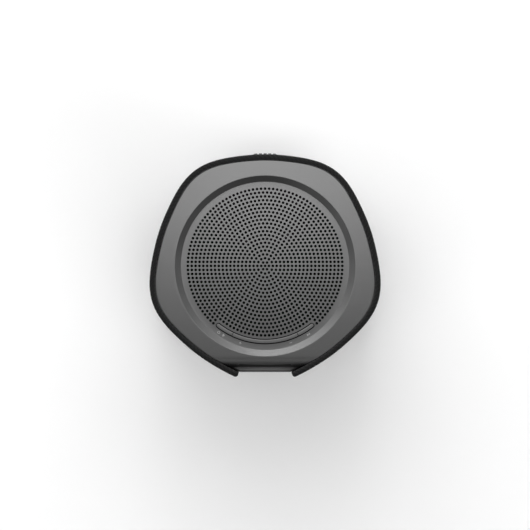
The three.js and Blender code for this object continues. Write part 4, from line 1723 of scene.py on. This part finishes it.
@dataclass
class KeptSolids:
    """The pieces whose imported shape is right, each given its slot's finish."""

    own: dict[str, Finish] = field(
        default_factory=lambda: {"radiator_weight": Finish.STEEL, "key_mat": Finish.RUBBER}
    )

    def build(self, frame: dict) -> None:
        """Paints every node that still shows.

        Args:
            frame: The loaded frame.
        """
        for part in frame["record"]["subparts"]:
            node = part["node"]
            solid = frame["nodes"][node]
            finish = self.own.get(node, SLOT_FINISH[part["material_slot"]])
            solid.data.materials.clear()
            solid.data.materials.append(finish.material())
            if not solid.hide_render:
                LOG.info("%s keeps its solid, in %s", node, finish.name)


# Floor, lights and camera


@dataclass(frozen=True)
class NearLamp:
    """A small square soft lamp close above the plate, whose light falls off across it.

    Attributes:
        turn: Degrees round from the badge's side towards +X.
        rise: Degrees above the horizon.
        away: Distance from the point that it is aimed at.
        size: Side of the square.
        power: Its power in watts.
        aim: Height of the point on the axis that it is aimed at.
    """

    turn: float = 0.0
    rise: float = 73.0
    away: float = 0.30
    size: float = 0.18
    power: float = 0.51
    aim: float = 0.09

    def build(self) -> None:
        """Makes the lamp, which the camera doesn't see."""
        lamp = bpy.data.lights.new("near_lamp", "AREA")
        lamp.size = self.size
        lamp.energy = self.power
        way = towards(self.turn, self.rise)
        made = hung(lamp, way)
        made.location = way * self.away + Vector((0.0, 0.0, self.aim))
        made.visible_camera = False


@dataclass(frozen=True)
class FarLamp:
    """A broad soft lamp so far off that it lights the whole room evenly.

    Attributes:
        turn: Degrees round from the badge's side towards +X.
        rise: Degrees above the horizon.
        strength: Watts on each square metre that faces it.
        spread: Degrees that it covers, which soften its shadows.
    """

    turn: float
    rise: float
    strength: float
    spread: float = 22.0

    def build(self) -> None:
        """Makes the lamp."""
        lamp = bpy.data.lights.new("far_lamp", "SUN")
        lamp.angle = math.radians(self.spread)
        lamp.energy = self.strength
        hung(lamp, towards(self.turn, self.rise))


def hung(lamp: bpy.types.Light, way: Vector) -> bpy.types.Object:
    """Puts a lamp in the scene, at the origin, shining against a direction.

    Args:
        lamp: The lamp.
        way: Unit vector from the speaker to the lamp.

    Returns:
        The lamp's object.
    """
    made = bpy.data.objects.new(lamp.name, lamp)
    made.rotation_euler = (-way).to_track_quat("-Z", "Y").to_euler()
    bpy.context.scene.collection.objects.link(made)
    return made


def towards(turn: float, rise: float) -> Vector:
    """Direction to a lamp.

    Args:
        turn: Degrees round from -Y towards +X.
        rise: Degrees above the horizon.

    Returns:
        A unit vector from the speaker to the lamp.
    """
    flat, up = math.radians(turn), math.radians(rise)
    return Vector((math.sin(flat) * math.cos(up), -math.cos(flat) * math.cos(up), math.sin(up)))


@dataclass
class Studio:
    """The pale floor, the lamps, the soft surroundings and the camera above.

    Attributes:
        camera_height: Height of the camera above the floor.
        frame_width: Width of the picture at the height of the top plate.
        sensor: Width of the camera's sensor, in millimetres.
        offset: The camera's place across, x and y.
        floor_half: Half the floor's side.
        floor_below: How far the floor lies below the feet.
        surroundings: Strength of the even light.
        near: The lamp over the plate.
        far: Turn and rise in degrees and strength of each distant lamp.
    """

    camera_height: float = 2.38
    frame_width: float = 0.2741
    sensor: float = 36.0
    offset: tuple[float, float] = (0.00005, -0.00046)
    floor_half: float = 12.0
    floor_below: float = 0.05 * MM
    surroundings: float = 0.3
    near: NearLamp = NearLamp()
    far: tuple[tuple[float, float, float], ...] = (
        (0, 14, 1.08), (22, 14, 0.94), (44, 14, 0.64), (66, 14, 0.37), (90, 14, 0.23),
        (120, 14, 0.17), (120, 52, 0.38), (150, 24, 0.1), (150, 52, 0.065), (180, 52, 0.037),
        (-22, 14, 0.54), (-44, 14, 0.33), (-66, 14, 0.21), (-90, 14, 0.17), (-120, 24, 0.05),
        (-120, 52, 0.49), (-150, 24, 0.016), (-150, 52, 0.33),
    )

    def _floor(self) -> None:
        """A large flat sheet, slightly below the feet so that the two don't share a plane."""
        side = np.linspace(-self.floor_half, self.floor_half, 3)
        x, y = np.meshgrid(side, side)
        surface = Surface("floor")
        surface.add_grid(stacked(x, y, -self.floor_below))
        made = surface.finished()
        made.data.materials.append(Finish.FLOOR.material())
        made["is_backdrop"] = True

    def _surroundings(self) -> None:
        """Even white light from all round."""
        world = bpy.data.worlds.new("surroundings")
        world.use_nodes = True
        sky = world.node_tree.nodes["Background"]
        sky.inputs["Color"].default_value = (1.0, 1.0, 1.0, 1.0)
        sky.inputs["Strength"].default_value = self.surroundings
        bpy.context.scene.world = world

    def _camera(self) -> None:
        """Looks straight down, with the badge's side at the top of the picture."""
        lens = bpy.data.cameras.new("camera")
        lens.sensor_width = self.sensor
        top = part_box("top_plate")[1].z
        lens.lens = self.sensor * (self.camera_height - top) / self.frame_width
        made = bpy.data.objects.new("camera", lens)
        made.location = (*self.offset, self.camera_height)
        made.rotation_euler = (0.0, 0.0, math.pi)
        bpy.context.scene.collection.objects.link(made)
        bpy.context.scene.camera = made

    def build(self) -> None:
        """Makes everything round the speaker."""
        self._floor()
        self._surroundings()
        self._camera()
        bpy.context.scene.view_settings.view_transform = "Standard"
        for lamp in (self.near, *(FarLamp(*numbers) for numbers in self.far)):
            lamp.build()


# The whole


def corners() -> list[list[float]]:
    """The shown object's lowest and highest corner as plain lists."""
    return [list(corner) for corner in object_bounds()]


def main() -> None:
    """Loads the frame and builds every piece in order."""
    logging.basicConfig(level=logging.INFO, format="%(name)s: %(message)s")
    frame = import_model()
    outline, arc = Outline(), KeyArc()
    Studio().build()
    KeptSolids().build(frame)
    FabricWrap(outline).build()
    Badge(outline).build()
    plate = TopPlate(outline, arc)
    plate.build()
    DustScreen(arc).build()
    Keys(arc).build()
    KeySigns().build(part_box("top_plate")[1].z - plate.dish)
    FeelDot(arc).build()
    BackStrip(outline).build()
    PortFlap().build()
    SoftRings().build()


if __name__ == "__main__":
    main()
